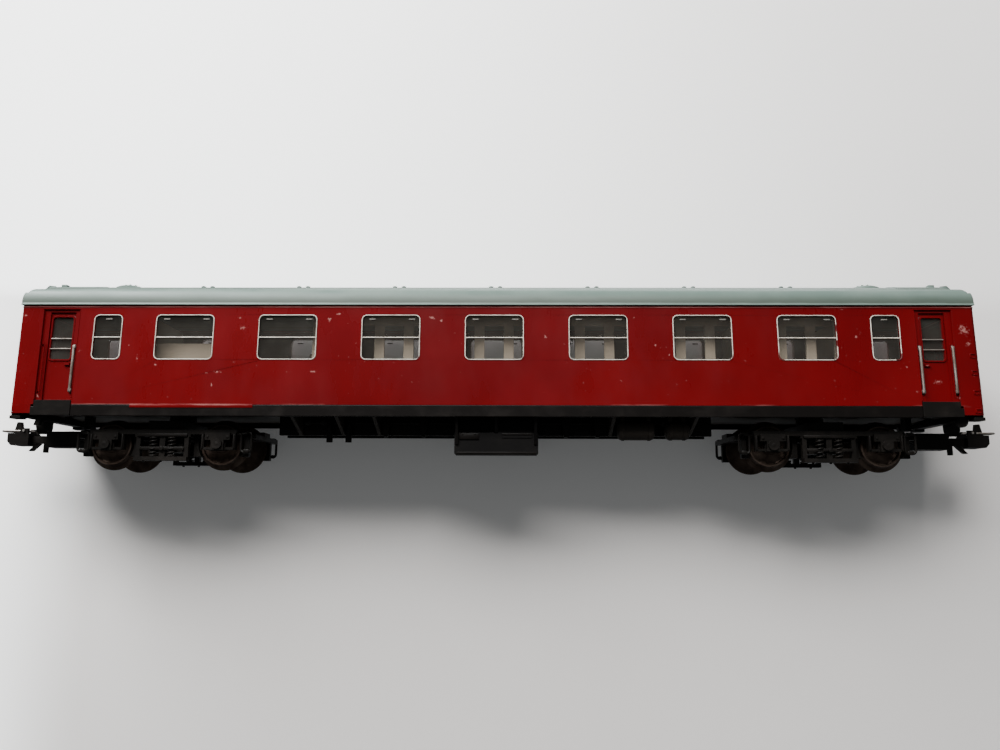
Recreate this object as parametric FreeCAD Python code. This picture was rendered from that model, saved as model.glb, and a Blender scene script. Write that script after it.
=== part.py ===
"""Model passenger coach in H0 cross-section, standing on its wheel flanges.

Frame: millimetres, +X along the coach to its right end, +Y towards its far side, +Z up.
The origin lies midway between the wheels on the surface that the flanges stand on.
Every function makes one sub-part, and the table at the end names and exports them.
"""
import FreeCAD, Part
import math
import os

# --- driving dimensions ---------------------------------------------------------------
BODY_LENGTH = 240.0
BODY_WIDTH = 32.4
WALL = 1.0
SIDE_BOTTOM = 15.8
EAVES = 41.3
SIDE_LEAN = 0.8            # how far a side leans inwards between its foot and the eaves
END_SKIRT_BOTTOM = 13.6
END_SKIRT_START = 114.8
CORNER_RADIUS = 1.2

ROOF_OVERHANG = 0.4
ROOF_CROWN_RADIUS = 26.0
ROOF_CROWN_TOP = 49.4
ROOF_CREASE_Y = 10.8
ROOF_LIP = 0.8
ROOF_WALL = 1.2
ROOF_END_RUN = 12.2        # length over which each end of the roof curves down

WINDOW_PITCH = 25.98
WINDOW_WIDTH = 14.76
WINDOW_BOTTOM = 27.2
WINDOW_TOP = 38.8
WINDOW_MIDDLE = 32.95
WINDOW_CORNER = 1.3
FRAME_LINE = 0.36
SMALL_WINDOW_WIDTH = 7.25
SMALL_WINDOW_X = 97.4
GLASS_SET_BACK = 0.35
GLAZING_SHEET = 0.7
GLAZING_HALF = 103.8

DOORWAY = (104.8, 114.2)   # from and to, along X
DOORWAY_TOP = 40.2
DOOR_BOTTOM = 16.9
DOOR_LEAF = (106.1, 112.5)
DOOR_GLASS = (106.7, 111.9)
DOOR_GLASS_BOTTOM = 27.4
DOOR_GLASS_TOP = 38.3
DOOR_BAR_HEIGHTS = (30.1, 32.7)
HANDRAIL_X = (105.5, 113.6)
HANDRAIL_Z = (18.9, 30.9)
HANDRAIL_RADIUS = 0.33

SOLE_BOTTOM = 13.0
STEP_BOTTOM = 13.2
FLOOR_BOTTOM = 14.4
FLOOR_TOP = 15.6
FLOOR_HALF_WIDTH = 15.15
BALLAST_TOP = 16.6
CABIN_FLOOR_TOP = 17.4
CABIN_WALL_TOP = 40.2
PARTITION_Y = -8.4
CABIN_WALL = 0.8
LINTEL = 37.7

BEAM_HALF_LENGTH = 56.0
BEAM_BOTTOM = 9.3
RIB_X = (-50.2, -39.2, -29.8, -9.9, 9.9, 29.8, 39.2, 50.2)
RIBS_WITHOUT_WINGS = (-9.9, 9.9, 39.2)
BATTERY_X = (-9.9, 10.95)
TANKS = ((31.0, 9.4, 2.4), (43.0, 6.2, 2.3))   # where each starts, its length and its radius
TANK_Z = 10.2

BOGIE_CENTRE = 83.0
HALF_WHEELBASE = 14.0
FLANGE_RADIUS = 6.4
TREAD_RADIUS = 5.35
WHEEL_FACE_Y = 9.7
WHEEL_BACK_Y = 7.0
AXLE_RADIUS = 0.75
AXLE_HALF_LENGTH = 12.1
RUNNING_CLEARANCE = 0.06
SIDE_FRAME_INNER_Y = 10.9
SIDE_FRAME_OUTER_Y = 12.3
PIVOT_RADIUS = 1.2

COUPLER_PIVOT = 29.0       # from the bogie centre to the coupler's pivot
POCKET = (26.6, 35.0)      # from and to, measured out from the bogie centre
SHANK_LOW = 7.3
SHANK_HIGH = 9.3
LOOP_HINGE = 40.9
LOOP_HEIGHT = 10.55
COUPLER_REACH = 47.8

HALF_LENGTH = BODY_LENGTH / 2
HALF_WIDTH = BODY_WIDTH / 2
SIDE_HEIGHT = EAVES - SIDE_BOTTOM
X_AXIS = FreeCAD.Vector(1, 0, 0)
Y_AXIS = FreeCAD.Vector(0, 1, 0)
Z_AXIS = FreeCAD.Vector(0, 0, 1)


# --- shapes that the sub-parts are made of --------------------------------------------
def block(x, y, z):
    """A box from three (low, high) pairs."""
    corner = FreeCAD.Vector(x[0], y[0], z[0])
    return Part.makeBox(x[1] - x[0], y[1] - y[0], z[1] - z[0], corner)


def rod(start, along, length, radius):
    return Part.makeCylinder(radius, length, FreeCAD.Vector(*start), along)


def prism(points, along):
    """A closed outline of (x, y, z) points, pushed by the vector along."""
    corners = [FreeCAD.Vector(*point) for point in points]
    return Part.Face(Part.makePolygon(corners + corners[:1])).extrude(along)


def prism_x(points, x):
    """An outline of (y, z) points between two places on the X axis."""
    return prism([(x[0], y, z) for y, z in points], X_AXIS * (x[1] - x[0]))


def prism_y(points, y):
    """An outline of (x, z) points between two places on the Y axis."""
    return prism([(x, y[0], z) for x, z in points], Y_AXIS * (y[1] - y[0]))


def rounded_block_y(x, y, z, radius):
    """A box with its four edges along Y rounded."""
    solid = block(x, y, z)
    edges = [edge for edge in solid.Edges if abs(edge.BoundBox.YLength - (y[1] - y[0])) < 1e-6]
    return solid.makeFillet(radius, edges)


def fused(shapes):
    whole = shapes[0]
    if len(shapes) > 1:
        whole = whole.multiFuse(shapes[1:])
    return whole.removeSplitter()


def cut(shape, tools):
    for tool in tools:
        shape = shape.cut(tool)
    return shape


def group(shapes):
    """Separate solids that share one node."""
    return Part.makeCompound(shapes)


def to_far_side(shape):
    return shape.mirror(FreeCAD.Vector(0, 0, 0), Y_AXIS)


def to_left_end(shape):
    return shape.mirror(FreeCAD.Vector(0, 0, 0), X_AXIS)


def turned(shape):
    """The same piece at the other end, as half a turn about Z brings it there."""
    copy = shape.copy()
    copy.rotate(FreeCAD.Vector(0, 0, 0), Z_AXIS, 180)
    return copy


def both_sides(shape):
    return [shape, to_far_side(shape)]


def four_corners(shape):
    return both_sides(shape) + [to_left_end(piece) for piece in both_sides(shape)]


def leaned(shape):
    """Tilts a piece drawn on the upright near side onto the leaning one."""
    copy = shape.copy()
    angle = math.degrees(math.atan(SIDE_LEAN / SIDE_HEIGHT))
    copy.rotate(FreeCAD.Vector(0, -HALF_WIDTH, SIDE_BOTTOM), X_AXIS, -angle)
    return copy


def spun_about_y(profile):
    """A full turn of a closed (radius, y) outline about the Y axis."""
    corners = [FreeCAD.Vector(radius, y, 0) for radius, y in profile]
    face = Part.Face(Part.makePolygon(corners + corners[:1]))
    return face.revolve(FreeCAD.Vector(0, 0, 0), Y_AXIS, 360)


# --- windows, shared by the shell, the frames and the glazing -------------------------
def window_places():
    """The centre and width of each window along one side."""
    wide = [(WINDOW_PITCH * step, WINDOW_WIDTH) for step in range(-3, 4)]
    narrow = [(side * SMALL_WINDOW_X, SMALL_WINDOW_WIDTH) for side in (-1, 1)]
    return wide + narrow


def window_block(centre, width, inset, y):
    """A rounded window shape, smaller than the opening by inset all round."""
    x = (centre - width / 2 + inset, centre + width / 2 - inset)
    z = (WINDOW_BOTTOM + inset, WINDOW_TOP - inset)
    return rounded_block_y(x, y, z, WINDOW_CORNER - inset)


def doorway_block(y):
    return block(DOORWAY, y, (SIDE_BOTTOM - 1, DOORWAY_TOP))


# --- body ------------------------------------------------------------------------------
def side_section(inset, bottom, top):
    """The coach's outline across Y, inset by a wall, between two heights."""
    slope = SIDE_LEAN / SIDE_HEIGHT
    low = HALF_WIDTH - inset - slope * (bottom - SIDE_BOTTOM)
    high = HALF_WIDTH - inset - slope * (top - SIDE_BOTTOM)
    return [(-low, bottom), (low, bottom), (high, top), (-high, top)]


def body_shell():
    box = prism_x(side_section(0, SIDE_BOTTOM, EAVES), (-HALF_LENGTH, HALF_LENGTH))
    corners = [edge for edge in box.Edges if edge.BoundBox.ZLength > SIDE_HEIGHT - 0.1]
    box = box.makeFillet(CORNER_RADIUS, corners)
    skirt = block((END_SKIRT_START, HALF_LENGTH), (-HALF_WIDTH, HALF_WIDTH), (END_SKIRT_BOTTOM, SIDE_BOTTOM))
    outer = [
        edge for edge in skirt.Edges if edge.BoundBox.ZLength > 1 and edge.BoundBox.XMin > END_SKIRT_START
    ]
    skirt = skirt.makeFillet(CORNER_RADIUS, outer)
    shell = box.fuse([skirt, to_left_end(skirt)])
    hollow_x = (-HALF_LENGTH + WALL, HALF_LENGTH - WALL)
    tools = [prism_x(side_section(WALL, END_SKIRT_BOTTOM - 1, EAVES + 1), hollow_x)]
    through = (-HALF_WIDTH - 1, -HALF_WIDTH + WALL + 1)
    for centre, width in window_places():
        tools += both_sides(leaned(window_block(centre, width, 0, through)))
    tools += four_corners(leaned(doorway_block(through)))
    gangway = block((HALF_LENGTH - WALL - 1, HALF_LENGTH + 1), (-4.2, 4.2), (17.6, 39.0))
    tools += [gangway, to_left_end(gangway)]
    return cut(shell, tools).removeSplitter()


def window_frames():
    """Thin bright rims and middle bars in the near side's windows."""
    y = (-HALF_WIDTH - 0.04, -HALF_WIDTH + WALL)
    rims = []
    for centre, width in window_places():
        opening = window_block(centre, width, FRAME_LINE, (y[0] - 1, y[1] + 1))
        rim = window_block(centre, width, 0, y).cut(opening)
        inner = width / 2 - FRAME_LINE
        bar = block((centre - inner, centre + inner), (y[0], -HALF_WIDTH + GLASS_SET_BACK),
                    (WINDOW_MIDDLE - FRAME_LINE / 2, WINDOW_MIDDLE + FRAME_LINE / 2))
        rims.append(leaned(rim.fuse(bar).removeSplitter()))
    return rims


def window_glazing():
    """One clear strip behind the near side, with a raised pane in every window."""
    inner = -HALF_WIDTH + WALL
    strip = block((-GLAZING_HALF, GLAZING_HALF), (inner, inner + GLAZING_SHEET), (25.4, 40.2))
    panes = []
    for centre, width in window_places():
        panes.append(window_block(centre, width, FRAME_LINE, (-HALF_WIDTH + GLASS_SET_BACK, inner + 0.1)))
    return leaned(fused([strip] + panes))


# --- entrance doors at the right end of the near side ----------------------------------
def entry_door():
    """A door leaf with its jambs, set back into the doorway."""
    back_y = -HALF_WIDTH + WALL
    foot = DOOR_BOTTOM + 0.05
    plate = block((DOORWAY[0] - 0.5, DOORWAY[1] + 0.5), (back_y, back_y + 0.6), (foot, DOORWAY_TOP + 0.4))
    jamb_y = (-HALF_WIDTH + 0.5, back_y + 0.1)
    inner_jamb = block((DOORWAY[0], DOOR_LEAF[0]), jamb_y, (foot, DOORWAY_TOP))
    outer_jamb = block((DOOR_LEAF[1], DOORWAY[1]), jamb_y, (foot, DOORWAY_TOP))
    head = block(DOORWAY, jamb_y, (DOORWAY_TOP - 0.7, DOORWAY_TOP))
    lip = 0.35
    lip_x = (DOOR_GLASS[0] - lip, DOOR_GLASS[1] + lip)
    lip_z = (DOOR_GLASS_BOTTOM - lip, DOOR_GLASS_TOP + lip)
    rim = rounded_block_y(lip_x, (back_y - 0.25, back_y + 0.1), lip_z, 0.9)
    knob = block((106.6, 107.9), (back_y - 0.55, back_y + 0.1), (25.9, 26.4))
    door = fused([plate, inner_jamb, outer_jamb, head, rim, knob])
    glass_z = (DOOR_GLASS_BOTTOM, DOOR_GLASS_TOP)
    light = rounded_block_y(DOOR_GLASS, (back_y - 1, back_y + 1), glass_z, 0.6)
    tools = [light]
    for x in HANDRAIL_X:
        for z in HANDRAIL_Z:
            tools.append(rod((x, -HALF_WIDTH, z), Y_AXIS, 1.4, HANDRAIL_RADIUS))
    return leaned(cut(door, tools))


def door_pane():
    back_y = -HALF_WIDTH + WALL
    glass_z = (DOOR_GLASS_BOTTOM, DOOR_GLASS_TOP)
    return leaned(rounded_block_y(DOOR_GLASS, (back_y + 0.15, back_y + 0.55), glass_z, 0.6))


def door_bars():
    back_y = -HALF_WIDTH + WALL
    bars = []
    for height in DOOR_BAR_HEIGHTS:
        bar = rod((DOOR_GLASS[0], back_y - 0.1, height), X_AXIS, DOOR_GLASS[1] - DOOR_GLASS[0], 0.2)
        bars.append(leaned(bar))
    return bars


def handrail(x):
    """A bent wire rail whose two legs stand in the jamb's holes."""
    front = -HALF_WIDTH - 0.1
    low, high = HANDRAIL_Z
    pieces = [rod((x, front, low), Z_AXIS, high - low, HANDRAIL_RADIUS)]
    for z in (low, high):
        pieces.append(rod((x, front, z), Y_AXIS, 1.3, HANDRAIL_RADIUS))
        pieces.append(Part.makeSphere(HANDRAIL_RADIUS, FreeCAD.Vector(x, front, z)))
    return leaned(fused(pieces))


def near_handrails():
    """The outer rail of the left door is lost, and only its holes are left."""
    inner, outer = [handrail(x) for x in HANDRAIL_X]
    return [inner, outer, to_left_end(inner)]


def far_handrails():
    inner, outer = [to_far_side(handrail(x)) for x in HANDRAIL_X]
    return [inner, outer, to_left_end(inner), to_left_end(outer)]


def door_step():
    """The black step under a doorway, with its low outer foot."""
    y = (-HALF_WIDTH - 0.1, -FLOOR_HALF_WIDTH)
    riser = block((DOORWAY[0] + 0.1, DOORWAY[1] - 0.1), y, (STEP_BOTTOM, DOOR_BOTTOM))
    foot = block((DOORWAY[1] - 0.2, END_SKIRT_START), y, (STEP_BOTTOM, 15.3))
    return fused([riser, foot])


# --- ends -------------------------------------------------------------------------------
def gangway_door():
    """The door in the right end wall, with a window that is blind."""
    leaf = block((HALF_LENGTH - WALL - 0.6, HALF_LENGTH - WALL), (-5.0, 5.0), (17.0, 39.6))
    panel = block((HALF_LENGTH - WALL, HALF_LENGTH - 0.5), (-4.2, 4.2), (17.6, 39.0))
    light = block((HALF_LENGTH - 0.8, HALF_LENGTH), (-2.6, 2.6), (28.0, 37.0))
    return fused([leaf, panel]).cut(light)


def gangway_frame():
    """The flat rubber buffer around the right gangway door."""
    x = (HALF_LENGTH, HALF_LENGTH + 1.4)
    outer = block(x, (-6.2, 6.2), (15.0, 40.6))
    upper = [edge for edge in outer.Edges if edge.BoundBox.XLength > 1 and edge.BoundBox.ZMin > 40]
    outer = outer.makeFillet(1.2, upper)
    return outer.cut(block((x[0] - 1, x[1] + 1), (-4.4, 4.4), (14.0, 38.9)))


def end_beams():
    """The beam under the right end, with a round plate and a stay on one side and a tab on the other."""
    beam = block((116.4, HALF_LENGTH - WALL - 0.05), (-13.1, 13.1), (12.9, FLOOR_BOTTOM))
    plate = rod((115.1, -14.4, 12.3), Y_AXIS, 0.8, 1.5)
    neck = block((114.4, 116.6), (-14.4, -13.6), (12.9, FLOOR_BOTTOM))
    tab = prism_y([(112.2, FLOOR_BOTTOM), (113.5, FLOOR_BOTTOM), (114.6, 10.8), (113.4, 10.8)], (13.2, 14.6))
    outline = [(113.6, FLOOR_BOTTOM), (115.0, FLOOR_BOTTOM), (108.4, 11.2), (107.4, 11.2), (107.4, 12.0)]
    stay = prism_y(outline, (-1.0, 0.4))
    hanger = block((107.4, 109.0), (-1.6, 1.0), (11.1, FLOOR_BOTTOM))
    return [beam, fused([plate, neck]), tab, fused([stay, hanger])]


def end_lug():
    """The rounded lug that hangs under the middle of the end."""
    radius = 2.3
    centre_z = END_SKIRT_BOTTOM - 1.5
    top = block((119.1, 121.2), (-radius, radius), (centre_z, END_SKIRT_BOTTOM))
    low = rod((119.1, 0, centre_z), X_AXIS, 2.1, radius)
    low = low.common(block((119, 122), (-radius, radius), (centre_z - radius, centre_z)))
    return fused([top, low])


def corner_step():
    """A shunter's step under a corner, hung from the end wall by a short post."""
    tread = block((117.2, 119.9), (-HALF_WIDTH + 0.1, -13.2), (12.3, 13.1))
    post = block((117.9, 119.9), (-15.4, -13.4), (12.9, END_SKIRT_BOTTOM))
    return fused([tread, post])


# --- roof -------------------------------------------------------------------------------
def roof_half_section(inset):
    """Crown arc, crease, shoulder arc and gutter lip, as edges from the middle outwards."""
    centre_z = ROOF_CROWN_TOP - ROOF_CROWN_RADIUS
    crown = ROOF_CROWN_RADIUS - inset

    def on_crown(y):
        return (y, centre_z + math.sqrt(crown ** 2 - y ** 2))

    eaves_y = HALF_WIDTH - SIDE_LEAN + ROOF_OVERHANG - inset
    crease = on_crown(ROOF_CREASE_Y - inset * 0.6)
    lip = (eaves_y, EAVES + ROOF_LIP)
    swell = ((crease[0] + lip[0]) / 2 + 0.95, (crease[1] + lip[1]) / 2 + 0.85)
    return on_crown(0), on_crown(5.6), crease, swell, lip, (eaves_y, EAVES)


def roof_solid(inset, x):
    """The roof's section, run between two places on the X axis."""
    top, mid, crease, swell, lip, foot = roof_half_section(inset)

    def at(point, side):
        return FreeCAD.Vector(x[0], side * point[0], point[1])

    edges = [Part.Arc(at(crease, -1), at(top, 1), at(crease, 1)).toShape()]
    for side in (1, -1):
        edges.append(Part.Arc(at(crease, side), at(swell, side), at(lip, side)).toShape())
        edges.append(Part.makeLine(at(lip, side), at(foot, side)))
    edges.append(Part.makeLine(at(foot, 1), at(foot, -1)))
    wire = Part.Wire(Part.__sortEdges__(edges))
    return Part.Face(wire).extrude(X_AXIS * (x[1] - x[0]))


def end_curve_limit(inset, half_length):
    """The side view of the roof, whose two ends curve down."""
    reach = half_length - inset
    top = ROOF_CROWN_TOP - inset + 0.02
    shoulder = EAVES + 1.2

    def at(x, z):
        return FreeCAD.Vector(x, -30, z)

    lean_in = 1 - math.sqrt(0.5)
    middle_x = reach - ROOF_END_RUN * lean_in
    middle_z = shoulder + (top - shoulder) * (1 - lean_in)
    right = Part.Arc(at(reach - ROOF_END_RUN, top), at(middle_x, middle_z), at(reach, shoulder)).toShape()
    left = Part.Arc(at(-reach + ROOF_END_RUN, top), at(-middle_x, middle_z), at(-reach, shoulder)).toShape()
    edges = [
        right,
        left,
        Part.makeLine(at(-reach + ROOF_END_RUN, top), at(reach - ROOF_END_RUN, top)),
        Part.makeLine(at(reach, shoulder), at(reach, EAVES)),
        Part.makeLine(at(reach, EAVES), at(-reach, EAVES)),
        Part.makeLine(at(-reach, EAVES), at(-reach, shoulder)),
    ]
    wire = Part.Wire(Part.__sortEdges__(edges))
    return Part.Face(wire).extrude(Y_AXIS * 60)


def roof():
    outer_half = HALF_LENGTH + ROOF_OVERHANG
    outer = roof_solid(0, (-outer_half, outer_half)).common(end_curve_limit(0, outer_half))
    inner_half = outer_half - ROOF_WALL
    inner = roof_solid(ROOF_WALL, (-inner_half, inner_half)).common(end_curve_limit(ROOF_WALL, outer_half))
    return outer.cut(inner)


def roof_crown():
    """The full round that the crown is part of, for trimming what stands on the roof."""
    start = (-HALF_LENGTH, 0, ROOF_CROWN_TOP - ROOF_CROWN_RADIUS)
    return rod(start, X_AXIS, BODY_LENGTH, ROOF_CROWN_RADIUS)


def roof_ventilators():
    """A pair of small mushroom ventilators over each compartment window."""
    pieces = []
    for step in range(-3, 4):
        for offset in (-1.2, 1.2):
            x = WINDOW_PITCH * step + offset
            pieces.append(rod((x, -2.0, ROOF_CROWN_TOP - 1), Z_AXIS, 1.75, 0.6).cut(roof_crown()))
    return pieces


def roof_dome():
    """A low round cover on the crown near the right end."""
    ball_radius = 8.4
    rise = 2.1
    top = ROOF_CROWN_TOP + 1.35
    ball = Part.makeSphere(ball_radius, FreeCAD.Vector(99.7, 0, top - ball_radius))
    low = top - rise
    cap = ball.common(block((90, 110), (-8, 8), (low, top + 1)))
    return cap.cut(roof_crown())


def roof_lugs():
    """A small lug and a foothold on each shoulder of the right end's curve."""
    pieces = []
    for y in ((-9.0, -7.4), (7.4, 9.0)):
        pieces.append(block((112.5, 114.1), y, (47.0, 48.5)).cut(roof_crown()))
        foothold = prism_y([(115.4, 47.0), (118.2, 45.6), (118.2, 47.5), (117.6, 47.9), (115.4, 48.4)], y)
        pieces.append(foothold.cut(end_curve_limit(0, HALF_LENGTH + ROOF_OVERHANG)))
    return pieces


# --- underframe -------------------------------------------------------------------------
def chassis_floor():
    plate = block((-118.9, 118.9), (-FLOOR_HALF_WIDTH, FLOOR_HALF_WIDTH), (FLOOR_BOTTOM, FLOOR_TOP))
    pieces = [plate]
    tools = []
    for side in (-1, 1):
        x = side * BOGIE_CENTRE
        pieces.append(rod((x, 0, 12.6), Z_AXIS, FLOOR_TOP - 12.6, 3.4))
        tools.append(rod((x, 0, 12), Z_AXIS, 5, PIVOT_RADIUS))
    return cut(fused(pieces), tools)


def sole_bar():
    return block((-DOORWAY[0], DOORWAY[0]), (-HALF_WIDTH, -FLOOR_HALF_WIDTH), (SOLE_BOTTOM, SIDE_BOTTOM))


def centre_beam():
    return block((-BEAM_HALF_LENGTH, BEAM_HALF_LENGTH), (-4.4, -3.4), (BEAM_BOTTOM, FLOOR_BOTTOM))


def cross_ribs():
    """Tapering plates from the sole bars down to the centre beams, in three parts each."""
    ribs = []
    for x in RIB_X:
        span = (x - 0.45, x + 0.45)
        outline = [(-15.1, FLOOR_BOTTOM), (-15.1, 13.2), (-4.4, BEAM_BOTTOM), (-4.4, FLOOR_BOTTOM)]
        wing = prism_x(outline, span)
        web = block(span, (-3.4, 3.4), (BEAM_BOTTOM + 0.6, FLOOR_BOTTOM))
        ribs.append(web)
        if x not in RIBS_WITHOUT_WINGS:
            ribs += both_sides(wing)
    return ribs


def battery_tray():
    """The near half of the equipment box: a deep tray with cases above and three ribs."""
    low, high = BATTERY_X
    middle = (low + high) / 2
    profile = [(low, 9.4), (low, 4.2), (low + 0.4, 3.8), (high - 0.4, 3.8), (high, 4.2), (high, 9.4)]
    front = prism_y(profile, (-12.6, -10.6))
    back = block((low, high), (-10.7, -4.4), (4.6, 9.4))
    cases = [
        block((low + 0.8, middle - 4.2), (-10.8, -4.4), (9.3, FLOOR_BOTTOM)),
        block((middle - 4.3, middle + 0.5), (-9.8, -4.4), (9.3, FLOOR_BOTTOM)),
        block((middle + 0.4, high - 0.8), (-11.6, -4.4), (9.3, FLOOR_BOTTOM)),
    ]
    ribs = []
    for x in (low + 0.65, high - 0.65):
        outline = [(-15.0, FLOOR_BOTTOM), (-15.0, 13.2), (-13.0, 6.4), (-12.5, 6.4)]
        outline += [(-9.6, 9.4), (-9.6, FLOOR_BOTTOM)]
        ribs.append(prism_x(outline, (x - 0.35, x + 0.35)))
    outline = [(-15.0, FLOOR_BOTTOM), (-15.0, 13.2), (-12.9, 9.4), (-9.6, 9.4), (-9.6, FLOOR_BOTTOM)]
    ribs.append(prism_x(outline, (middle - 0.35, middle + 0.35)))
    hatches = [
        block((low + 1.2, middle - 4.4), (-12.8, -12.5), (7.7, 9.2)),
        block((middle + 1.4, high - 1.5), (-12.8, -12.5), (8.1, 9.2)),
    ]
    return [front, back] + cases + ribs + hatches


def battery_box():
    """The equipment box: a deep tray on the near side and a shallow one on the far side."""
    low, high = BATTERY_X
    bridge = block((low + 0.8, high - 0.8), (-4.5, 4.5), (5.4, BEAM_BOTTOM - 0.1))
    far_tray = block((low, high), (4.4, 12.6), (5.9, 9.4))
    far_case = block((low + 0.8, high - 0.8), (4.4, 11.2), (9.3, FLOOR_BOTTOM))
    return fused(battery_tray() + [bridge, far_tray, far_case])


def equipment_tanks():
    """A long and a short air reservoir lying along the near side, on short hangers."""
    tanks = []
    y = -9.2
    for start, length, radius in TANKS:
        tank = rod((start, y, TANK_Z), X_AXIS, length, radius)
        hangers = []
        for x in (start + 0.9, start + length - 1.9):
            hangers.append(block((x, x + 1.0), (y - 0.5, y + 0.5), (TANK_Z, FLOOR_BOTTOM)))
        tanks.append(fused([tank] + hangers))
    return tanks


def underframe_clips():
    """Snap hooks that hold the cabin moulding, longer on the near side, and two near pegs."""
    clips = []
    for x in (-28.0, -18.3, 18.3, 26.4):
        for side, tip in ((-1, 8.8), (1, 10.8)):
            y = sorted((side * 5.2, side * 6.6))
            outline = [(x - 1.2, FLOOR_BOTTOM), (x + 1.2, FLOOR_BOTTOM), (x + 0.5, tip), (x - 0.5, tip)]
            clips.append(prism_y(outline, y))
    for x in (-42.5, -37.6):
        clips.append(rod((x, -6.0, 7.4), Z_AXIS, FLOOR_BOTTOM - 7.4, 0.8))
    return clips


# --- cabin ------------------------------------------------------------------------------
def ballast_weight():
    return block((-60, 60), (-12, 12), (FLOOR_TOP, BALLAST_TOP))


def cabin_floor():
    plate = block((-103, 103), (-14.2, 14.2), (BALLAST_TOP, CABIN_FLOOR_TOP))
    feet = []
    for side in (-1, 1):
        span = sorted((side * 96.0, side * 102.0))
        feet.append(block(span, (-12, 12), (FLOOR_TOP, BALLAST_TOP)))
    return fused([plate] + feet)


def corridor_partition():
    """The wall beside the corridor, with a doorway at each window and panes between."""
    y = (PARTITION_Y, PARTITION_Y + CABIN_WALL)
    wall = block((-47.4, 91.0), y, (CABIN_FLOOR_TOP, CABIN_WALL_TOP))
    openings = []
    wide = (y[0] - 1, y[1] + 1)
    for step in range(-2, 4):
        middle = WINDOW_PITCH * step - 0.2
        if step > -2:
            openings.append(block((middle - 2.5, middle + 2.5), wide, (CABIN_FLOOR_TOP, LINTEL)))
        pane = middle + WINDOW_PITCH / 2
        openings.append(block((max(pane - 7.9, -46.0), min(pane + 7.9, 87.5)), wide, (24.0, LINTEL)))
    low_wall = block((-91.0, -64.0), y, (CABIN_FLOOR_TOP, 32.8))
    return [cut(wall, openings), low_wall]


def wall_places():
    return [-90.6, -47.0] + [WINDOW_PITCH * (step + 0.5) for step in range(-1, 3)] + [90.6]


def compartment_walls():
    walls = []
    half = CABIN_WALL / 2
    for x in wall_places():
        y = (PARTITION_Y + CABIN_WALL, 13.2)
        walls.append(block((x - half, x + half), y, (CABIN_FLOOR_TOP, CABIN_WALL_TOP)))
    return walls


def seat_benches():
    """Facing benches, one on each side of every compartment."""
    benches = []
    places = wall_places()
    half = CABIN_WALL / 2
    for left, right in zip(places, places[1:]):
        for x, out in ((left + half, 1), (right - half, -1)):
            outline = [(0, 0), (5.2, 0), (5.4, 3.6), (5.0, 4.6), (1.7, 4.4), (1.0, 13.0), (0, 13.0)]
            points = [(x + out * run, CABIN_FLOOR_TOP + rise) for run, rise in outline]
            benches.append(prism_y(points, (-6.8, 12.8)))
    return benches


# --- bogie, drawn about its own centre with its coupler towards +X ----------------------
def bogie_frame():
    """Bolster with an apron at each side, spine, brake cross bars and the coupler's pocket."""
    bolster = block((-4.4, 4.4), (-SIDE_FRAME_INNER_Y, SIDE_FRAME_INNER_Y), (8.8, 12.4))
    spine = block((-22.6, POCKET[0] + 0.2), (-2.6, 2.6), (8.0, 10.2))
    bars = [block((21.0, 22.6), (-9.9, 9.9), (8.0, 9.2)), block((-22.6, -21.0), (-9.9, 9.9), (8.0, 9.2))]
    pocket = block(POCKET, (-2.6, 2.6), (6.2, 10.4))
    aprons = [block((-4.4, 4.4), y, (4.4, 9.0)) for y in ((-10.4, -7.2), (7.2, 10.4))]
    frame = fused([bolster, spine, pocket] + bars + aprons)
    hollow = block((POCKET[0] + 0.8, POCKET[1] + 1), (-1.95, 1.95), (SHANK_LOW - 0.15, SHANK_HIGH + 0.15))
    pivot_hole = rod((0, 0, 5), Z_AXIS, 10, PIVOT_RADIUS + RUNNING_CLEARANCE)
    pin_hole = rod((COUPLER_PIVOT, 0, 5), Z_AXIS, 6, 0.5)
    return cut(frame, [hollow, pivot_hole, pin_hole])


def side_frame():
    """The near side frame: a slim beam, two axleboxes in their guards, and a spring plank."""
    y = (-SIDE_FRAME_OUTER_Y, -SIDE_FRAME_INNER_Y)
    pieces = [
        block((-18.4, 18.4), y, (8.8, 10.0)),
        block((-6.6, 6.6), (-13.3, -SIDE_FRAME_INNER_Y), (2.2, 3.2)),
        block((-7.0, 7.0), y, (8.2, 9.0)),
        block((-6.6, -5.5), y, (3.0, 8.2)),
        block((5.5, 6.6), y, (3.0, 8.2)),
        block((-0.7, 0.7), y, (3.0, 8.2)),
    ]
    for side in (-1, 1):
        x = side * HALF_WHEELBASE
        pieces.append(block((x - 1.9, x + 1.9), y, (4.8, 9.0)))
        pieces.append(block((x - 3.1, x + 3.1), (-13.1, -12.2), (7.4, 9.2)))
        pieces.append(block((x - 1.6, x + 1.6), (-13.1, -12.2), (4.9, 7.9)))
        pieces.append(rod((x, -13.7, FLANGE_RADIUS), Y_AXIS, 1.6, 1.25))
        for guard in (x - 4.3, x + 3.6):
            pieces.append(block((guard, guard + 0.7), y, (5.0, 9.0)))
        pieces.append(block((x - 4.3, x + 4.3), y, (5.0, 5.6)))
    frame = fused(pieces)
    bearings = []
    for side in (-1, 1):
        start = (side * HALF_WHEELBASE, -AXLE_HALF_LENGTH - 0.15, FLANGE_RADIUS)
        bearings.append(rod(start, Y_AXIS, 3, AXLE_RADIUS + RUNNING_CLEARANCE))
    return cut(frame, bearings)


def bogie_springs():
    """Pairs of coil springs that stand on each spring plank, as ribbed columns."""
    springs = []
    coils = 5
    bottom = 3.2
    rise = (8.2 - bottom) / coils
    for side in (-1, 1):
        for x in (-2.3, 2.3):
            rings = [rod((x, side * 12.0, bottom), Z_AXIS, 8.2 - bottom, 0.8)]
            for turn in range(coils):
                height = bottom + rise * (turn + 0.2)
                rings.append(rod((x, side * 12.0, height), Z_AXIS, rise * 0.6, 1.15))
            springs.append(fused(rings))
    return springs


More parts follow.
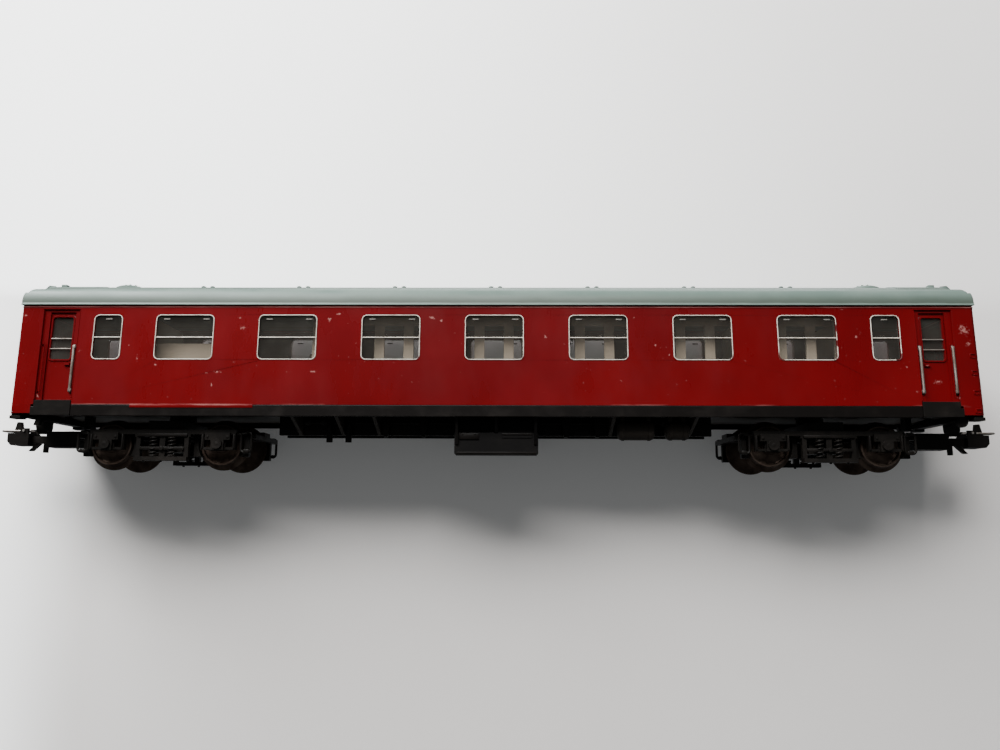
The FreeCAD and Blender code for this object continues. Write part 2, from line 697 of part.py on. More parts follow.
def brake_blocks():
    """A shoe on its hanger outboard and inboard of every wheel."""
    shoes = []
    radius = TREAD_RADIUS + 0.4
    for axle in (-HALF_WHEELBASE, HALF_WHEELBASE):
        wheel = rod((axle, -15, FLANGE_RADIUS), Y_AXIS, 30, radius)
        for out in (-1, 1):
            low, high = sorted((axle + out * 4.6, axle + out * 7.0))
            for y in ((-9.8, -8.2), (8.2, 9.8)):
                shoe = block((low, high), y, (3.4, 9.2)).cut(wheel)
                shoes += shoe.Solids
    return shoes


def coupler_head():
    """Shank with its eye, head block, upright hook and release pin."""
    eye = rod((COUPLER_PIVOT, 0, SHANK_LOW), Z_AXIS, SHANK_HIGH - SHANK_LOW, 1.5)
    shank = block((COUPLER_PIVOT, 40.0), (-0.8, 0.8), (SHANK_LOW, SHANK_HIGH))
    head = block((39.6, 45.2), (-2.7, 2.7), (6.7, 9.9))
    bevel = prism_y([(43.6, 6.0), (46.0, 6.0), (46.0, 8.6)], (-4, 4))
    hook = prism_y([(42.6, 9.7), (45.0, 9.7), (44.2, 13.0), (43.2, 13.0)], (-0.6, 0.6))
    ears = [block((39.8, 42.0), side, (9.7, 11.2)) for side in ((-2.7, -2.0), (2.0, 2.7))]
    pin = rod((36.2, 0, 4.9), Z_AXIS, 3.0, 0.7)
    tail = prism_y([(37.4, 7.4), (38.6, 7.4), (40.6, 5.3), (39.6, 5.3)], (-0.6, 0.6))
    whole = fused([eye, shank, head, hook, pin, tail] + ears)
    pin_hole = rod((COUPLER_PIVOT, 0, 5), Z_AXIS, 6, 0.5 + RUNNING_CLEARANCE)
    hinge_hole = rod((LOOP_HINGE, -4, LOOP_HEIGHT), Y_AXIS, 8, 0.3 + RUNNING_CLEARANCE)
    return cut(whole, [bevel, pin_hole, hinge_hole])


def coupler_loop():
    """The lifting loop, a thin frame on its own hinge pin."""
    pin = rod((LOOP_HINGE, -3.1, LOOP_HEIGHT), Y_AXIS, 6.2, 0.3)
    low, high = LOOP_HEIGHT - 0.25, LOOP_HEIGHT + 0.25
    inner = block((LOOP_HINGE - 0.3, LOOP_HINGE + 1.2), (-1.7, 1.7), (low, high))
    span = (LOOP_HINGE + 1.0, COUPLER_REACH)
    arms = [block(span, side, (low, high)) for side in ((-1.7, -1.1), (1.1, 1.7))]
    nose = block((COUPLER_REACH - 0.6, COUPLER_REACH), (-1.7, 1.7), (low, high))
    return fused([pin, inner, nose] + arms)


def coupler_pivot_pin():
    return rod((COUPLER_PIVOT, 0, 6.2), Z_AXIS, 4.2, 0.5)


def axle():
    return rod((0, -AXLE_HALF_LENGTH, 0), Y_AXIS, 2 * AXLE_HALF_LENGTH, AXLE_RADIUS)


def wheel_pair():
    """Two wheels with coned treads, flanges and dished faces."""
    profile = [
        (AXLE_RADIUS, WHEEL_BACK_Y), (FLANGE_RADIUS - 0.4, WHEEL_BACK_Y), (FLANGE_RADIUS, WHEEL_BACK_Y + 0.3),
        (FLANGE_RADIUS - 0.3, WHEEL_BACK_Y + 0.65), (TREAD_RADIUS, WHEEL_BACK_Y + 0.95),
        (TREAD_RADIUS - 0.15, WHEEL_FACE_Y), (TREAD_RADIUS - 0.95, WHEEL_FACE_Y),
        (TREAD_RADIUS - 1.15, WHEEL_FACE_Y - 0.7), (2.0, WHEEL_FACE_Y - 0.7), (1.7, WHEEL_FACE_Y - 0.1),
        (AXLE_RADIUS, WHEEL_FACE_Y - 0.1),
    ]
    return both_sides(spun_about_y(profile))


def pivot_screw():
    """The screw that holds a bogie and that the bogie turns on."""
    shank = rod((0, 0, 8.2), Z_AXIS, FLOOR_TOP - 8.2, PIVOT_RADIUS)
    head = rod((0, 0, 7.4), Z_AXIS, 0.5, 2.2)
    neck = rod((0, 0, 7.8), Z_AXIS, 0.5, PIVOT_RADIUS)
    slot = block((-3, 3), (-0.3, 0.3), (7.2, 7.7))
    return fused([shank, head, neck]).cut(slot)


def moved(shape, x, z=0.0):
    copy = shape.copy()
    copy.translate(FreeCAD.Vector(x, 0, z))
    return copy


def bogie_parts():
    """Every node of one bogie about its own centre, by the last part of its name."""
    parts = {
        "frame": bogie_frame(),
        "side_frames": group(both_sides(side_frame())),
        "springs": group(bogie_springs()),
        "brake_blocks": group(brake_blocks()),
        "coupler_pivot_pin": coupler_pivot_pin(),
        "coupler_head": coupler_head(),
        "coupler_loop": coupler_loop(),
    }
    for place, x in (("outer", HALF_WHEELBASE), ("inner", -HALF_WHEELBASE)):
        parts[place + "_axle"] = moved(axle(), x, FLANGE_RADIUS)
        parts[place + "_wheels"] = moved(group(wheel_pair()), x, FLANGE_RADIUS)
    return parts


# --- the whole coach --------------------------------------------------------------------
def coach_parts():
    door = entry_door()
    frames = window_frames()
    glazing = window_glazing()
    parts = {
        "body_shell": body_shell(),
        "roof": roof(),
        "roof_ventilators": group(roof_ventilators()),
        "roof_domes": group([roof_dome(), to_left_end(roof_dome())]),
        "roof_lifting_lugs": group(roof_lugs() + [to_left_end(lug) for lug in roof_lugs()]),
        "window_glazing_near": glazing,
        "window_glazing_far": to_far_side(glazing),
        "window_frames_near": group(frames),
        "window_frames_far": group([to_far_side(frame) for frame in frames]),
        "entry_door_near_right": door,
        "entry_door_near_left": to_left_end(door),
        "entry_door_far_right": to_far_side(door),
        "entry_door_far_left": to_left_end(to_far_side(door)),
        "door_panes": group(four_corners(door_pane())),
        "door_window_bars": group([piece for bar in door_bars() for piece in four_corners(bar)]),
        "handrails_near": group(near_handrails()),
        "handrails_far": group(far_handrails()),
        "door_steps": group(four_corners(door_step())),
        "gangway_doors": group([gangway_door(), to_left_end(gangway_door())]),
        "gangway_frames": group([gangway_frame(), to_left_end(gangway_frame())]),
        "end_beams": group(end_beams() + [turned(piece) for piece in end_beams()]),
        "end_lugs": group([end_lug(), to_left_end(end_lug())]),
        "corner_steps": group(four_corners(corner_step())),
        "chassis_floor": chassis_floor(),
        "sole_bar_near": sole_bar(),
        "sole_bar_far": to_far_side(sole_bar()),
        "centre_beams": group(both_sides(centre_beam())),
        "cross_ribs": group(cross_ribs()),
        "battery_box": battery_box(),
        "air_tanks": group(equipment_tanks()),
        "underframe_clips": group(underframe_clips()),
        "ballast_weight": ballast_weight(),
        "cabin_floor": cabin_floor(),
        "corridor_partition": group(corridor_partition()),
        "compartment_walls": group(compartment_walls()),
        "seat_benches": group(seat_benches()),
        "bogie_pivot_screws": group([moved(pivot_screw(), side * BOGIE_CENTRE) for side in (-1, 1)]),
    }
    for name, shape in bogie_parts().items():
        parts["right_bogie_" + name] = moved(shape, BOGIE_CENTRE)
        parts["left_bogie_" + name] = turned(moved(shape, BOGIE_CENTRE))
    return parts


os.makedirs("parts", exist_ok=True)
for node, shape in coach_parts().items():
    shape.exportStep(os.path.join("parts", node + ".step"))
    box = shape.BoundBox
    print("%-28s solids %2d  valid %s  volume %9.2f  x %7.2f %7.2f  y %6.2f %6.2f  z %6.2f %6.2f" % (
        node, len(shape.Solids), shape.isValid(), shape.Volume,
        box.XMin, box.XMax, box.YMin, box.YMax, box.ZMin, box.ZMax))
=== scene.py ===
"""Looks of a model passenger coach: finishes, fine detail, studio and camera.

The coach stands along X. Its corridor side faces -Y, and its wheel flanges stand at Z = 0.
Sizes below are millimetres, and MM turns them into the metres that the scene is in.
"""
import logging
import math
from dataclasses import dataclass, field
from enum import Enum
from typing import Dict, Iterable, List, Optional, Sequence, Tuple

import bmesh
import bpy
import numpy as np
from mathutils import Matrix, Vector


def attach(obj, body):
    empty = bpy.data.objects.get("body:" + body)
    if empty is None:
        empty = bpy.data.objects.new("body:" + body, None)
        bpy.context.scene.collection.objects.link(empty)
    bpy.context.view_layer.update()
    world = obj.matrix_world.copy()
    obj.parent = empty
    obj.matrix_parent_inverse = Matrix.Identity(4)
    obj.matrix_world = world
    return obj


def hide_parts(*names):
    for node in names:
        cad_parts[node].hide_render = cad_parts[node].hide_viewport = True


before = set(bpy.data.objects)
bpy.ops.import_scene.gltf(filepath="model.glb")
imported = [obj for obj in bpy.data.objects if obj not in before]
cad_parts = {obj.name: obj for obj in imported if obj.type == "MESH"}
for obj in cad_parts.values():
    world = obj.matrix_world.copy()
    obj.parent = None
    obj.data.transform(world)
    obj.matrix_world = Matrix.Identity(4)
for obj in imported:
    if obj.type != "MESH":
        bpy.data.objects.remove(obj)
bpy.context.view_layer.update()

MM = 0.001
LOG = logging.getLogger("coach")
Pair = Tuple[float, float]
Triple = Tuple[float, float, float]
Colour = Tuple[float, float, float]
Outline = Tuple[Pair, ...]
Kept = Tuple[str, str, float]

COACH = "coach_body"
PITCH = 25.98                # from one wide window to the next
WIDE_BAYS = range(-3, 4)     # the wide windows, counted from the middle one
SILL_Y, SILL_Z = 16.2, 15.8  # the foot of a side, which leans in by SIDE_LEAN over SIDE_HEIGHT
SIDE_LEAN, SIDE_HEIGHT = 0.8, 25.5
CHIP_Y = -15.8               # where marks in the near side's paint are centred
MERGE, WELD = 0.002, 0.001   # gaps closed in a new piece and in a kept node
BEVEL_ANGLE = 38.0           # edges that turn by more degrees than this are rounded


class Axis(Enum):
    """The direction that a round piece turns about."""

    X = (1, 2, 0)
    Y = (2, 0, 1)
    Z = (0, 1, 2)


class Side(Enum):
    """A long side of the coach, by the sign of its Y."""

    NEAR = -1
    FAR = 1


class End(Enum):
    """An end of the coach, by the sign of its X."""

    LEFT = -1
    RIGHT = 1


# --- numpy surfaces -----------------------------------------------------------------------
def arc(radius: float, start: float, stop: float, steps: int) -> np.ndarray:
    """Points of a circle between two angles in degrees, as radius times (cosine, sine).

    Args:
        radius: The circle's radius.
        start: First angle.
        stop: Last angle.
        steps: Number of spans between the points.

    Returns:
        An array of (steps + 1, 2).
    """
    angle = np.radians(np.linspace(start, stop, steps + 1))
    return radius * np.stack([np.cos(angle), np.sin(angle)], -1)


def rounded_outline(width: float, height: float, radius: float, steps: int = 5) -> np.ndarray:
    """A rectangle about (0, 0) whose corners are quarter circles, anticlockwise.

    Args:
        width: Size along the first direction.
        height: Size along the second direction.
        radius: Corner radius.
        steps: Spans in each corner.

    Returns:
        An array of (4 * (steps + 1), 2).
    """
    corners = []
    for quarter, (across, up) in enumerate([(1, 1), (-1, 1), (-1, -1), (1, -1)]):
        middle = np.array([across * (width / 2 - radius), up * (height / 2 - radius)])
        corners.append(middle + arc(radius, 90 * quarter, 90 * quarter + 90, steps))
    return np.concatenate(corners)


def upright_path(outline: np.ndarray, y: np.ndarray) -> np.ndarray:
    """An outline (x, z) stood up at these Y."""
    return np.stack([outline[:, 0], y, outline[:, 1]], -1)


def bar_rings(line: np.ndarray, tangent: np.ndarray, radius: float, sides: int,
              across: Triple) -> np.ndarray:
    """Rings of a bar along a line.

    Each ring is the line's point plus radius times a circle in the plane across the tangent, whose
    first direction is `across` with its part along the tangent taken out.

    Args:
        line: Points along the middle of the bar, (n, 3).
        tangent: The line's direction at each point, of any length.
        radius: Radius of the bar.
        sides: Points round each ring.
        across: A direction that the line never runs along.

    Returns:
        An array of (n, sides, 3).
    """
    tangent = tangent / np.linalg.norm(tangent, axis=1, keepdims=True)
    first = np.asarray(across, float) - tangent * (tangent @ np.asarray(across, float))[:, None]
    first /= np.linalg.norm(first, axis=1, keepdims=True)
    second = np.cross(tangent, first)
    turn = np.linspace(0, 2 * np.pi, sides, endpoint=False)[None, :, None]
    return line[:, None] + radius * (np.cos(turn) * first[:, None] + np.sin(turn) * second[:, None])


@dataclass
class MeshBuild:
    """Points and faces of one piece in millimetres, gathered surface by surface."""

    points: List[np.ndarray] = field(default_factory=list)
    faces: List[List[int]] = field(default_factory=list)
    paints: List[int] = field(default_factory=list)
    count: int = 0

    def grid(self, points: np.ndarray, wrap: bool = False, caps: bool = False,
             paint: Sequence[int] = (0,)) -> "MeshBuild":
        """Adds the surface that joins each row of points to the next.

        Args:
            points: Rows of points, (rows, columns, 3).
            wrap: Whether the last column joins the first.
            caps: Whether the first and last rows are filled with a face each.
            paint: Finish of each span between rows, where the last one serves the rest.

        Returns:
            This build.
        """
        rows, columns = points.shape[:2]
        index = np.arange(rows * columns).reshape(rows, columns) + self.count
        net = np.hstack([index, index[:, :1]]) if wrap else index
        quads = np.stack([net[:-1, :-1], net[:-1, 1:], net[1:, 1:], net[1:, :-1]], -1).reshape(-1, 4)
        faces = quads.tolist()
        if caps:
            faces += [index[0, ::-1].tolist(), index[-1].tolist()]
        self.points.append(points.reshape(-1, 3))
        self.faces += faces
        spans = (list(paint) + [paint[-1]] * rows)[:rows - 1]
        self.paints += np.repeat(spans, len(quads) // (rows - 1)).tolist()
        self.paints += [spans[0], spans[-1]] if caps else []
        self.count += rows * columns
        return self

    def tube(self, path: Sequence[Sequence[float]], radius: float, sides: int = 10,
             across: Triple = (0, 0, 1)) -> "MeshBuild":
        """Adds a round bar that follows a path, with both ends closed.

        Args:
            path: Points along the middle of the bar.
            radius: Radius of the bar.
            sides: Points round each ring.
            across: A direction that the path never runs along.

        Returns:
            This build.
        """
        line = np.asarray(path, float)
        rings = bar_rings(line, np.gradient(line, axis=0), radius, sides, across)
        return self.grid(rings, wrap=True, caps=True)

    def hoop(self, path: np.ndarray, radius: float, sides: int = 8,
             across: Triple = (0, 1, 0)) -> "MeshBuild":
        """Adds a round bar along a closed path, with its last ring joined to its first.

        Args:
            path: Points round the loop.
            radius: Radius of the bar.
            sides: Points round each ring.
            across: A direction that the path never runs along.

        Returns:
            This build.
        """
        rings = bar_rings(path, np.roll(path, -1, 0) - np.roll(path, 1, 0), radius, sides, across)
        return self.grid(np.concatenate([rings, rings[:1]]), wrap=True)

    def lathe(self, profile: Sequence[Sequence[float]], centre: Triple, axis: Axis,
              sides: int = 48, paint: Sequence[int] = (0,), closed: bool = False) -> "MeshBuild":
        """Adds a turned shape: each (radius, height) point becomes a ring about the axis.

        Args:
            profile: Points from one end of the axis to the other.
            centre: Where the profile's height 0 lies.
            axis: Axis that the shape is turned about.
            sides: Points round each ring.
            paint: Finish of each span between rings.
            closed: Whether the last ring is joined to the first, as on a wheel with a bore.

        Returns:
            This build.
        """
        shape = np.asarray(profile, float)
        shape = np.concatenate([shape, shape[:1]]) if closed else shape
        turn = np.linspace(0, 2 * np.pi, sides, endpoint=False)
        rings = np.empty((len(shape), sides, 3))
        first, second, along = axis.value
        rings[..., first] = shape[:, :1] * np.cos(turn)
        rings[..., second] = shape[:, :1] * np.sin(turn)
        rings[..., along] = shape[:, 1:2]
        return self.grid(rings + np.asarray(centre, float), wrap=True, caps=not closed, paint=paint)

    def box(self, low: Triple, high: Triple, radius: float, steps: int = 2) -> "MeshBuild":
        """Adds a box with rounded edges.

        A point is the corner of the inner box in its quadrant plus radius times a direction
        on the unit sphere, over quarter turns of longitude and halves of latitude.

        Args:
            low: One corner.
            high: The corner across from it.
            radius: Edge radius.
            steps: Spans in each rounded edge.

        Returns:
            This build.
        """
        low_a, high_a = np.minimum(low, high).astype(float), np.maximum(low, high).astype(float)
        middle, half = (low_a + high_a) / 2, (high_a - low_a) / 2
        radius = min(radius, 0.98 * float(half.min()))
        quarter = np.linspace(0, 90, steps + 1)
        lon = np.radians(np.concatenate([quarter + 90 * k for k in range(4)]))
        lon_sign = np.repeat([[1, 1], [-1, 1], [-1, -1], [1, -1]], steps + 1, axis=0)
        lat = np.radians(np.concatenate([quarter - 90, quarter]))
        lat_sign = np.repeat([-1, 1], steps + 1)
        sphere = np.stack([np.cos(lat)[:, None] * np.cos(lon), np.cos(lat)[:, None] * np.sin(lon),
                           np.repeat(np.sin(lat)[:, None], len(lon), 1)], -1)
        sign = np.empty_like(sphere)
        sign[..., :2] = lon_sign[None]
        sign[..., 2] = lat_sign[:, None]
        return self.grid(middle + sign * (half - radius) + radius * sphere, wrap=True, caps=True)

    def copied(self, turn: Sequence[float] = (1, 1, 1), shift: Sequence[float] = (0, 0, 0)) -> "MeshBuild":
        """The same surfaces mirrored by signs and then moved.

        Args:
            turn: Factor of each coordinate, 1 or -1.
            shift: Move after the turn.

        Returns:
            A new build.
        """
        moved = [points * np.asarray(turn, float) + np.asarray(shift, float) for points in self.points]
        return MeshBuild(moved, list(self.faces), list(self.paints), self.count)

    def join(self, other: "MeshBuild") -> "MeshBuild":
        """Adds every surface of another build.

        Args:
            other: The build to take in.

        Returns:
            This build.
        """
        self.faces += [[corner + self.count for corner in face] for face in other.faces]
        self.points += other.points
        self.paints += other.paints
        self.count += other.count
        return self


# --- finishes -----------------------------------------------------------------------------
class Board:
    """A node material that is being wired up round one Principled shader."""

    def __init__(self, name: str) -> None:
        """Starts an empty material with its shader and Object coordinates.

        Args:
            name: Its name.
        """
        self.material = bpy.data.materials.new(name)
        self.material.use_nodes = True
        self.tree = self.material.node_tree
        self.shader = self.tree.nodes["Principled BSDF"]
        self.place = self.add("ShaderNodeTexCoord").outputs["Object"]

    def add(self, kind: str, **values: object) -> bpy.types.Node:
        """A new node with some of its properties set.

        Args:
            kind: The node's type.
            values: Properties to set, by name.

        Returns:
            The node.
        """
        node = self.tree.nodes.new(kind)
        for key, value in values.items():
            setattr(node, key, value)
        return node

    def wire(self, source: bpy.types.NodeSocket, target: bpy.types.NodeSocket) -> None:
        """Links one socket to another."""
        self.tree.links.new(source, target)

    def feed(self, slot: bpy.types.NodeSocket, value: object) -> None:
        """Links a socket to an input, or sets the input to a number or a colour.

        Args:
            slot: The input.
            value: A socket, a number or a colour.
        """
        if isinstance(value, bpy.types.NodeSocket):
            self.wire(value, slot)
        else:
            slot.default_value = (*value, 1) if isinstance(value, tuple) else value

    def maths(self, operation: str, *values: object, clamp: bool = False) -> bpy.types.NodeSocket:
        """A maths node over sockets and numbers.

        Args:
            operation: The node's operation.
            values: Its inputs, as sockets to link or numbers to set.
            clamp: Whether the result stays between 0 and 1.

        Returns:
            The result's socket.
        """
        node = self.add("ShaderNodeMath", operation=operation, use_clamp=clamp)
        for slot, value in zip(node.inputs, values):
            self.feed(slot, value)
        return node.outputs[0]

    def times(self, first: object, second: object) -> bpy.types.NodeSocket:
        """The product of two sockets or numbers."""
        return self.maths("MULTIPLY", first, second)

    def most(self, *values: bpy.types.NodeSocket) -> bpy.types.NodeSocket:
        """The greatest of some sockets, compared one after another.

        Args:
            values: The sockets.

        Returns:
            The result's socket.
        """
        greatest = values[0]
        for value in values[1:]:
            greatest = self.maths("MAXIMUM", greatest, value)
        return greatest

    def between(self, source: bpy.types.NodeSocket, rise: Pair, fall: Pair) -> bpy.types.NodeSocket:
        """1 between two ramps of a value, and 0 outside both."""
        return self.times(self.ramp(source, *rise), self.ramp(source, *fall))

    def noise(self, scale: float, detail: float = 3.0, roughness: float = 0.55,
              stretch: Triple = (1, 1, 1)) -> bpy.types.NodeSocket:
        """Noise on Object coordinates.

        Args:
            scale: Waves per metre.
            detail: Octaves.
            roughness: Strength of the fine octaves.
            stretch: Factor on each coordinate, for drawn-out grain.

        Returns:
            The noise value's socket.
        """
        mapping = self.add("ShaderNodeMapping")
        mapping.inputs["Scale"].default_value = stretch
        self.wire(self.place, mapping.inputs["Vector"])
        node = self.add("ShaderNodeTexNoise")
        node.inputs["Scale"].default_value = scale
        node.inputs["Detail"].default_value = detail
        node.inputs["Roughness"].default_value = roughness
        self.wire(mapping.outputs[0], node.inputs["Vector"])
        return node.outputs["Fac"]

    def ramp(self, source: bpy.types.NodeSocket, low: float, high: float) -> bpy.types.NodeSocket:
        """A value that climbs smoothly from 0 at low to 1 at high, or falls if high is less.

        Args:
            source: The value.
            low: Where it is 0.
            high: Where it is 1.

        Returns:
            The result's socket.
        """
        node = self.add("ShaderNodeMapRange", interpolation_type="SMOOTHSTEP")
        node.inputs["From Min"].default_value = low
        node.inputs["From Max"].default_value = high
        self.wire(source, node.inputs["Value"])
        return node.outputs[0]

    def mix(self, share: bpy.types.NodeSocket, first: object, second: object) -> bpy.types.NodeSocket:
        """Blends two colours by a share.

        Args:
            share: 0 for the first, 1 for the second.
            first: A colour or a socket.
            second: A colour or a socket.

        Returns:
            The blended colour's socket.
        """
        node = self.add("ShaderNodeMix", data_type="RGBA")
        self.wire(share, node.inputs["Factor"])
        self.feed(node.inputs[6], first)
        self.feed(node.inputs[7], second)
        return node.outputs[2]

    def spot(self, centre: Triple, size: Triple) -> bpy.types.NodeSocket:
        """Distance from a place, 1 on an ellipsoid of half sizes round it, in millimetres.

        Args:
            centre: The place.
            size: Half sizes along X, Y and Z.

        Returns:
            The result's socket.
        """
        mapping = self.add("ShaderNodeMapping", vector_type="TEXTURE")
        mapping.inputs["Location"].default_value = [value * MM for value in centre]
        mapping.inputs["Scale"].default_value = [value * MM for value in size]
        self.wire(self.place, mapping.inputs["Vector"])
        length = self.add("ShaderNodeVectorMath", operation="LENGTH")
        self.wire(mapping.outputs[0], length.inputs[0])
        return length.outputs["Value"]

    def axis(self, letter: str) -> bpy.types.NodeSocket:
        """One Object coordinate, in millimetres.

        Args:
            letter: X, Y or Z.

        Returns:
            The result's socket.
        """
        split = self.add("ShaderNodeSeparateXYZ")
        self.wire(self.place, split.inputs[0])
        return self.maths("MULTIPLY", split.outputs[letter], 1 / MM)

    def finish(self, colour: object, roughness: object, bump: Optional[bpy.types.NodeSocket] = None,
               depth: float = 0.02) -> bpy.types.Material:
        """Wires colour, roughness and bump into the shader.

        Args:
            colour: A colour or a socket.
            roughness: A number or a socket.
            bump: Height that shades the surface.
            depth: Height of the bump in millimetres.

        Returns:
            The finished material.
        """
        self.feed(self.shader.inputs["Base Color"], colour)
        self.feed(self.shader.inputs["Roughness"], roughness)
        if bump is not None:
            node = self.add("ShaderNodeBump")
            node.inputs["Distance"].default_value = depth * MM
            node.inputs["Strength"].default_value = 1.0
            self.wire(bump, node.inputs["Height"])
            self.wire(node.outputs[0], self.shader.inputs["Normal"])
        return self.material


@dataclass(frozen=True)
class Chip:
    """A small worn or chipped place in the paint of the near side; two long, thin ones paint a highlight
    along its top edge.

    Fields are millimetres: its place along and up the side, and its half sizes.
    """

    x: float
    z: float
    width: float
    height: float


@dataclass(frozen=True)
class GlossyRed:
    """Deep red moulding with a soft gloss, fine specks, chips, a rubbed lower edge, and a pale line along the
    top edge that is partly rubbed paint and partly a painted highlight.
    """

    deep: Colour = (0.094, 0.0022, 0.0036)
    bright: Colour = (0.130, 0.0030, 0.0048)
    bare: Colour = (0.44, 0.21, 0.19)
    bareness: float = 0.52
    specular: float = 0.1
    sill_rub: Tuple[Pair, Pair] = ((16.15, 15.95), (15.5, 15.75))
    # band along the top edge of the side: partly rubbed paint, partly a painted highlight
    eaves_rub_and_highlight: Tuple[Pair, Pair] = ((40.62, 40.72), (41.0, 40.86))
    chips: Tuple[Chip, ...] = (
        Chip(-63.3, 35.4, 1.5, 1.0), Chip(-64.2, 38.0, 0.6, 0.5), Chip(-41.6, 37.6, 0.8, 0.8),
        Chip(-39.2, 39.0, 1.1, 0.5), Chip(-15.6, 38.0, 1.3, 0.6), Chip(-13.4, 37.3, 0.7, 0.5),
        Chip(12.8, 33.2, 0.8, 0.6), Chip(35.0, 38.1, 0.5, 0.4), Chip(40.1, 31.1, 0.4, 0.5),
        Chip(43.5, 28.6, 0.35, 0.4), Chip(90.0, 33.2, 0.55, 0.9), Chip(91.0, 34.3, 0.4, 0.6),
        Chip(101.8, 25.6, 0.7, 0.5), Chip(-68.9, 24.1, 1.0, 0.7), Chip(-71.6, 23.8, 0.9, 0.3),
        Chip(-70.2, 21.0, 0.4, 0.8), Chip(-89.4, 27.6, 0.4, 1.3), Chip(-91.7, 30.9, 0.4, 0.4),
        Chip(116.8, 35.0, 1.9, 2.2), Chip(117.6, 31.6, 1.0, 1.0), Chip(87.0, 40.2, 0.5, 0.3),
        Chip(103.7, 19.4, 0.8, 0.5), Chip(-65.0, 26.6, 0.5, 0.3), Chip(-84.7, 25.9, 0.6, 0.4),
        # the marks at z 40.9, 12 and 80 millimetres long, paint a highlight along the side's top edge, partly
        # rubbed paint
        Chip(-45.0, 24.2, 1.6, 0.4), Chip(-118.6, 38.6, 0.8, 0.5), Chip(95.4, 40.9, 6.0, 0.14),
        Chip(20.0, 40.9, 40.0, 0.13), Chip(107.2, 25.9, 0.5, 0.7), Chip(113.9, 17.9, 0.5, 0.8),
        Chip(-113.6, 18.0, 0.6, 0.7), Chip(109.4, 22.0, 2.0, 1.0),
    )

    def worn(self, board: Board) -> bpy.types.NodeSocket:
        """How far the paint is worn: ragged chips, rubbed sill, fine specks, and the line along the eaves,
        which is partly rubbed paint and partly a painted highlight.

        Args:
            board: The material in hand.

        Returns:
            A socket from 0, whole paint, to 1, the pale worn colour, which along the eaves is also a painted
            highlight.
        """
        breakup = board.maths("ADD", board.times(board.noise(2600, 3, 0.6), 2.2),
                              board.times(board.noise(900, 4, 0.7), 1.6))
        masks = []
        for chip in self.chips:
            distance = board.spot((chip.x, CHIP_Y, chip.z), (chip.width, 2.5, chip.height))
            masks.append(board.ramp(board.maths("ADD", distance, breakup), 2.45, 1.95))
        height = board.axis("Z")
        specks = board.ramp(board.noise(1100, 2, 0.5), 0.74, 0.79)
        patches = board.ramp(board.noise(160, 4, 0.6, (0.35, 1, 2)), 0.52, 0.68)
        sill = board.times(board.times(board.between(height, *self.sill_rub), patches), 0.6)
        uneven = board.ramp(board.noise(70, 4, 0.6, (1, 0.2, 0.2)), 0.35, 0.65)
        uneven = board.maths("MULTIPLY_ADD", uneven, 0.6, 0.25)
        # the eaves line: partly rubbed paint, partly a painted highlight of the side's top edge
        eaves = board.times(board.between(height, *self.eaves_rub_and_highlight), uneven)
        return board.most(*masks, board.times(specks, 0.3), sill, eaves)

    def material(self) -> bpy.types.Material:
        """The red finish's material.

        Returns:
            The material.
        """
        board = Board("glossy_red")
        board.shader.inputs["Specular IOR Level"].default_value = self.specular
        cloudy = board.ramp(board.noise(30, 4), 0.3, 0.75)
        worn = self.worn(board)
        colour = board.mix(cloudy, self.deep, self.bright)
        colour = board.mix(board.times(worn, self.bareness), colour, self.bare)
        hazy = board.ramp(board.noise(90, 5, 0.6, (1, 1, 0.4)), 0.35, 0.8)
        roughness = board.maths("MULTIPLY_ADD", hazy, 0.14, 0.26)
        roughness = board.maths("MULTIPLY_ADD", worn, 0.4, roughness)
        grain = board.maths("SUBTRACT", board.noise(900, 3), board.times(worn, 1.5))
        return board.finish(colour, roughness, grain, 0.005)


@dataclass(frozen=True)
class MouldedPlastic:
    """Self-coloured moulding with a cloudy tone, dust and a fine grain."""

    name: str
    base: Colour
    dusty: Colour
    shine: float = 0.45
    spread: float = 0.2
    grain: float = 1300
    relief: float = 0.012
    dust: Pair = (0.45, 0.8)
    gloss: float = 0.12

    def material(self) -> bpy.types.Material:
        """The moulding's material.

        Returns:
            The material.
        """
        board = Board(self.name)
        board.shader.inputs["Specular IOR Level"].default_value = self.gloss
        cloud = board.ramp(board.noise(120, 6, 0.65), *self.dust)
        streak = board.ramp(board.noise(420, 4, 0.6, (0.25, 1, 1)), 0.52, 0.75)
        dust_and_shade = board.maths("ADD", board.times(cloud, 0.7), board.times(streak, 0.3), clamp=True)
        colour = board.mix(dust_and_shade, self.base, self.dusty)
        roughness = board.maths("MULTIPLY_ADD", dust_and_shade, self.spread, self.shine)
        return board.finish(colour, roughness, board.noise(self.grain, 4, 0.6), self.relief)


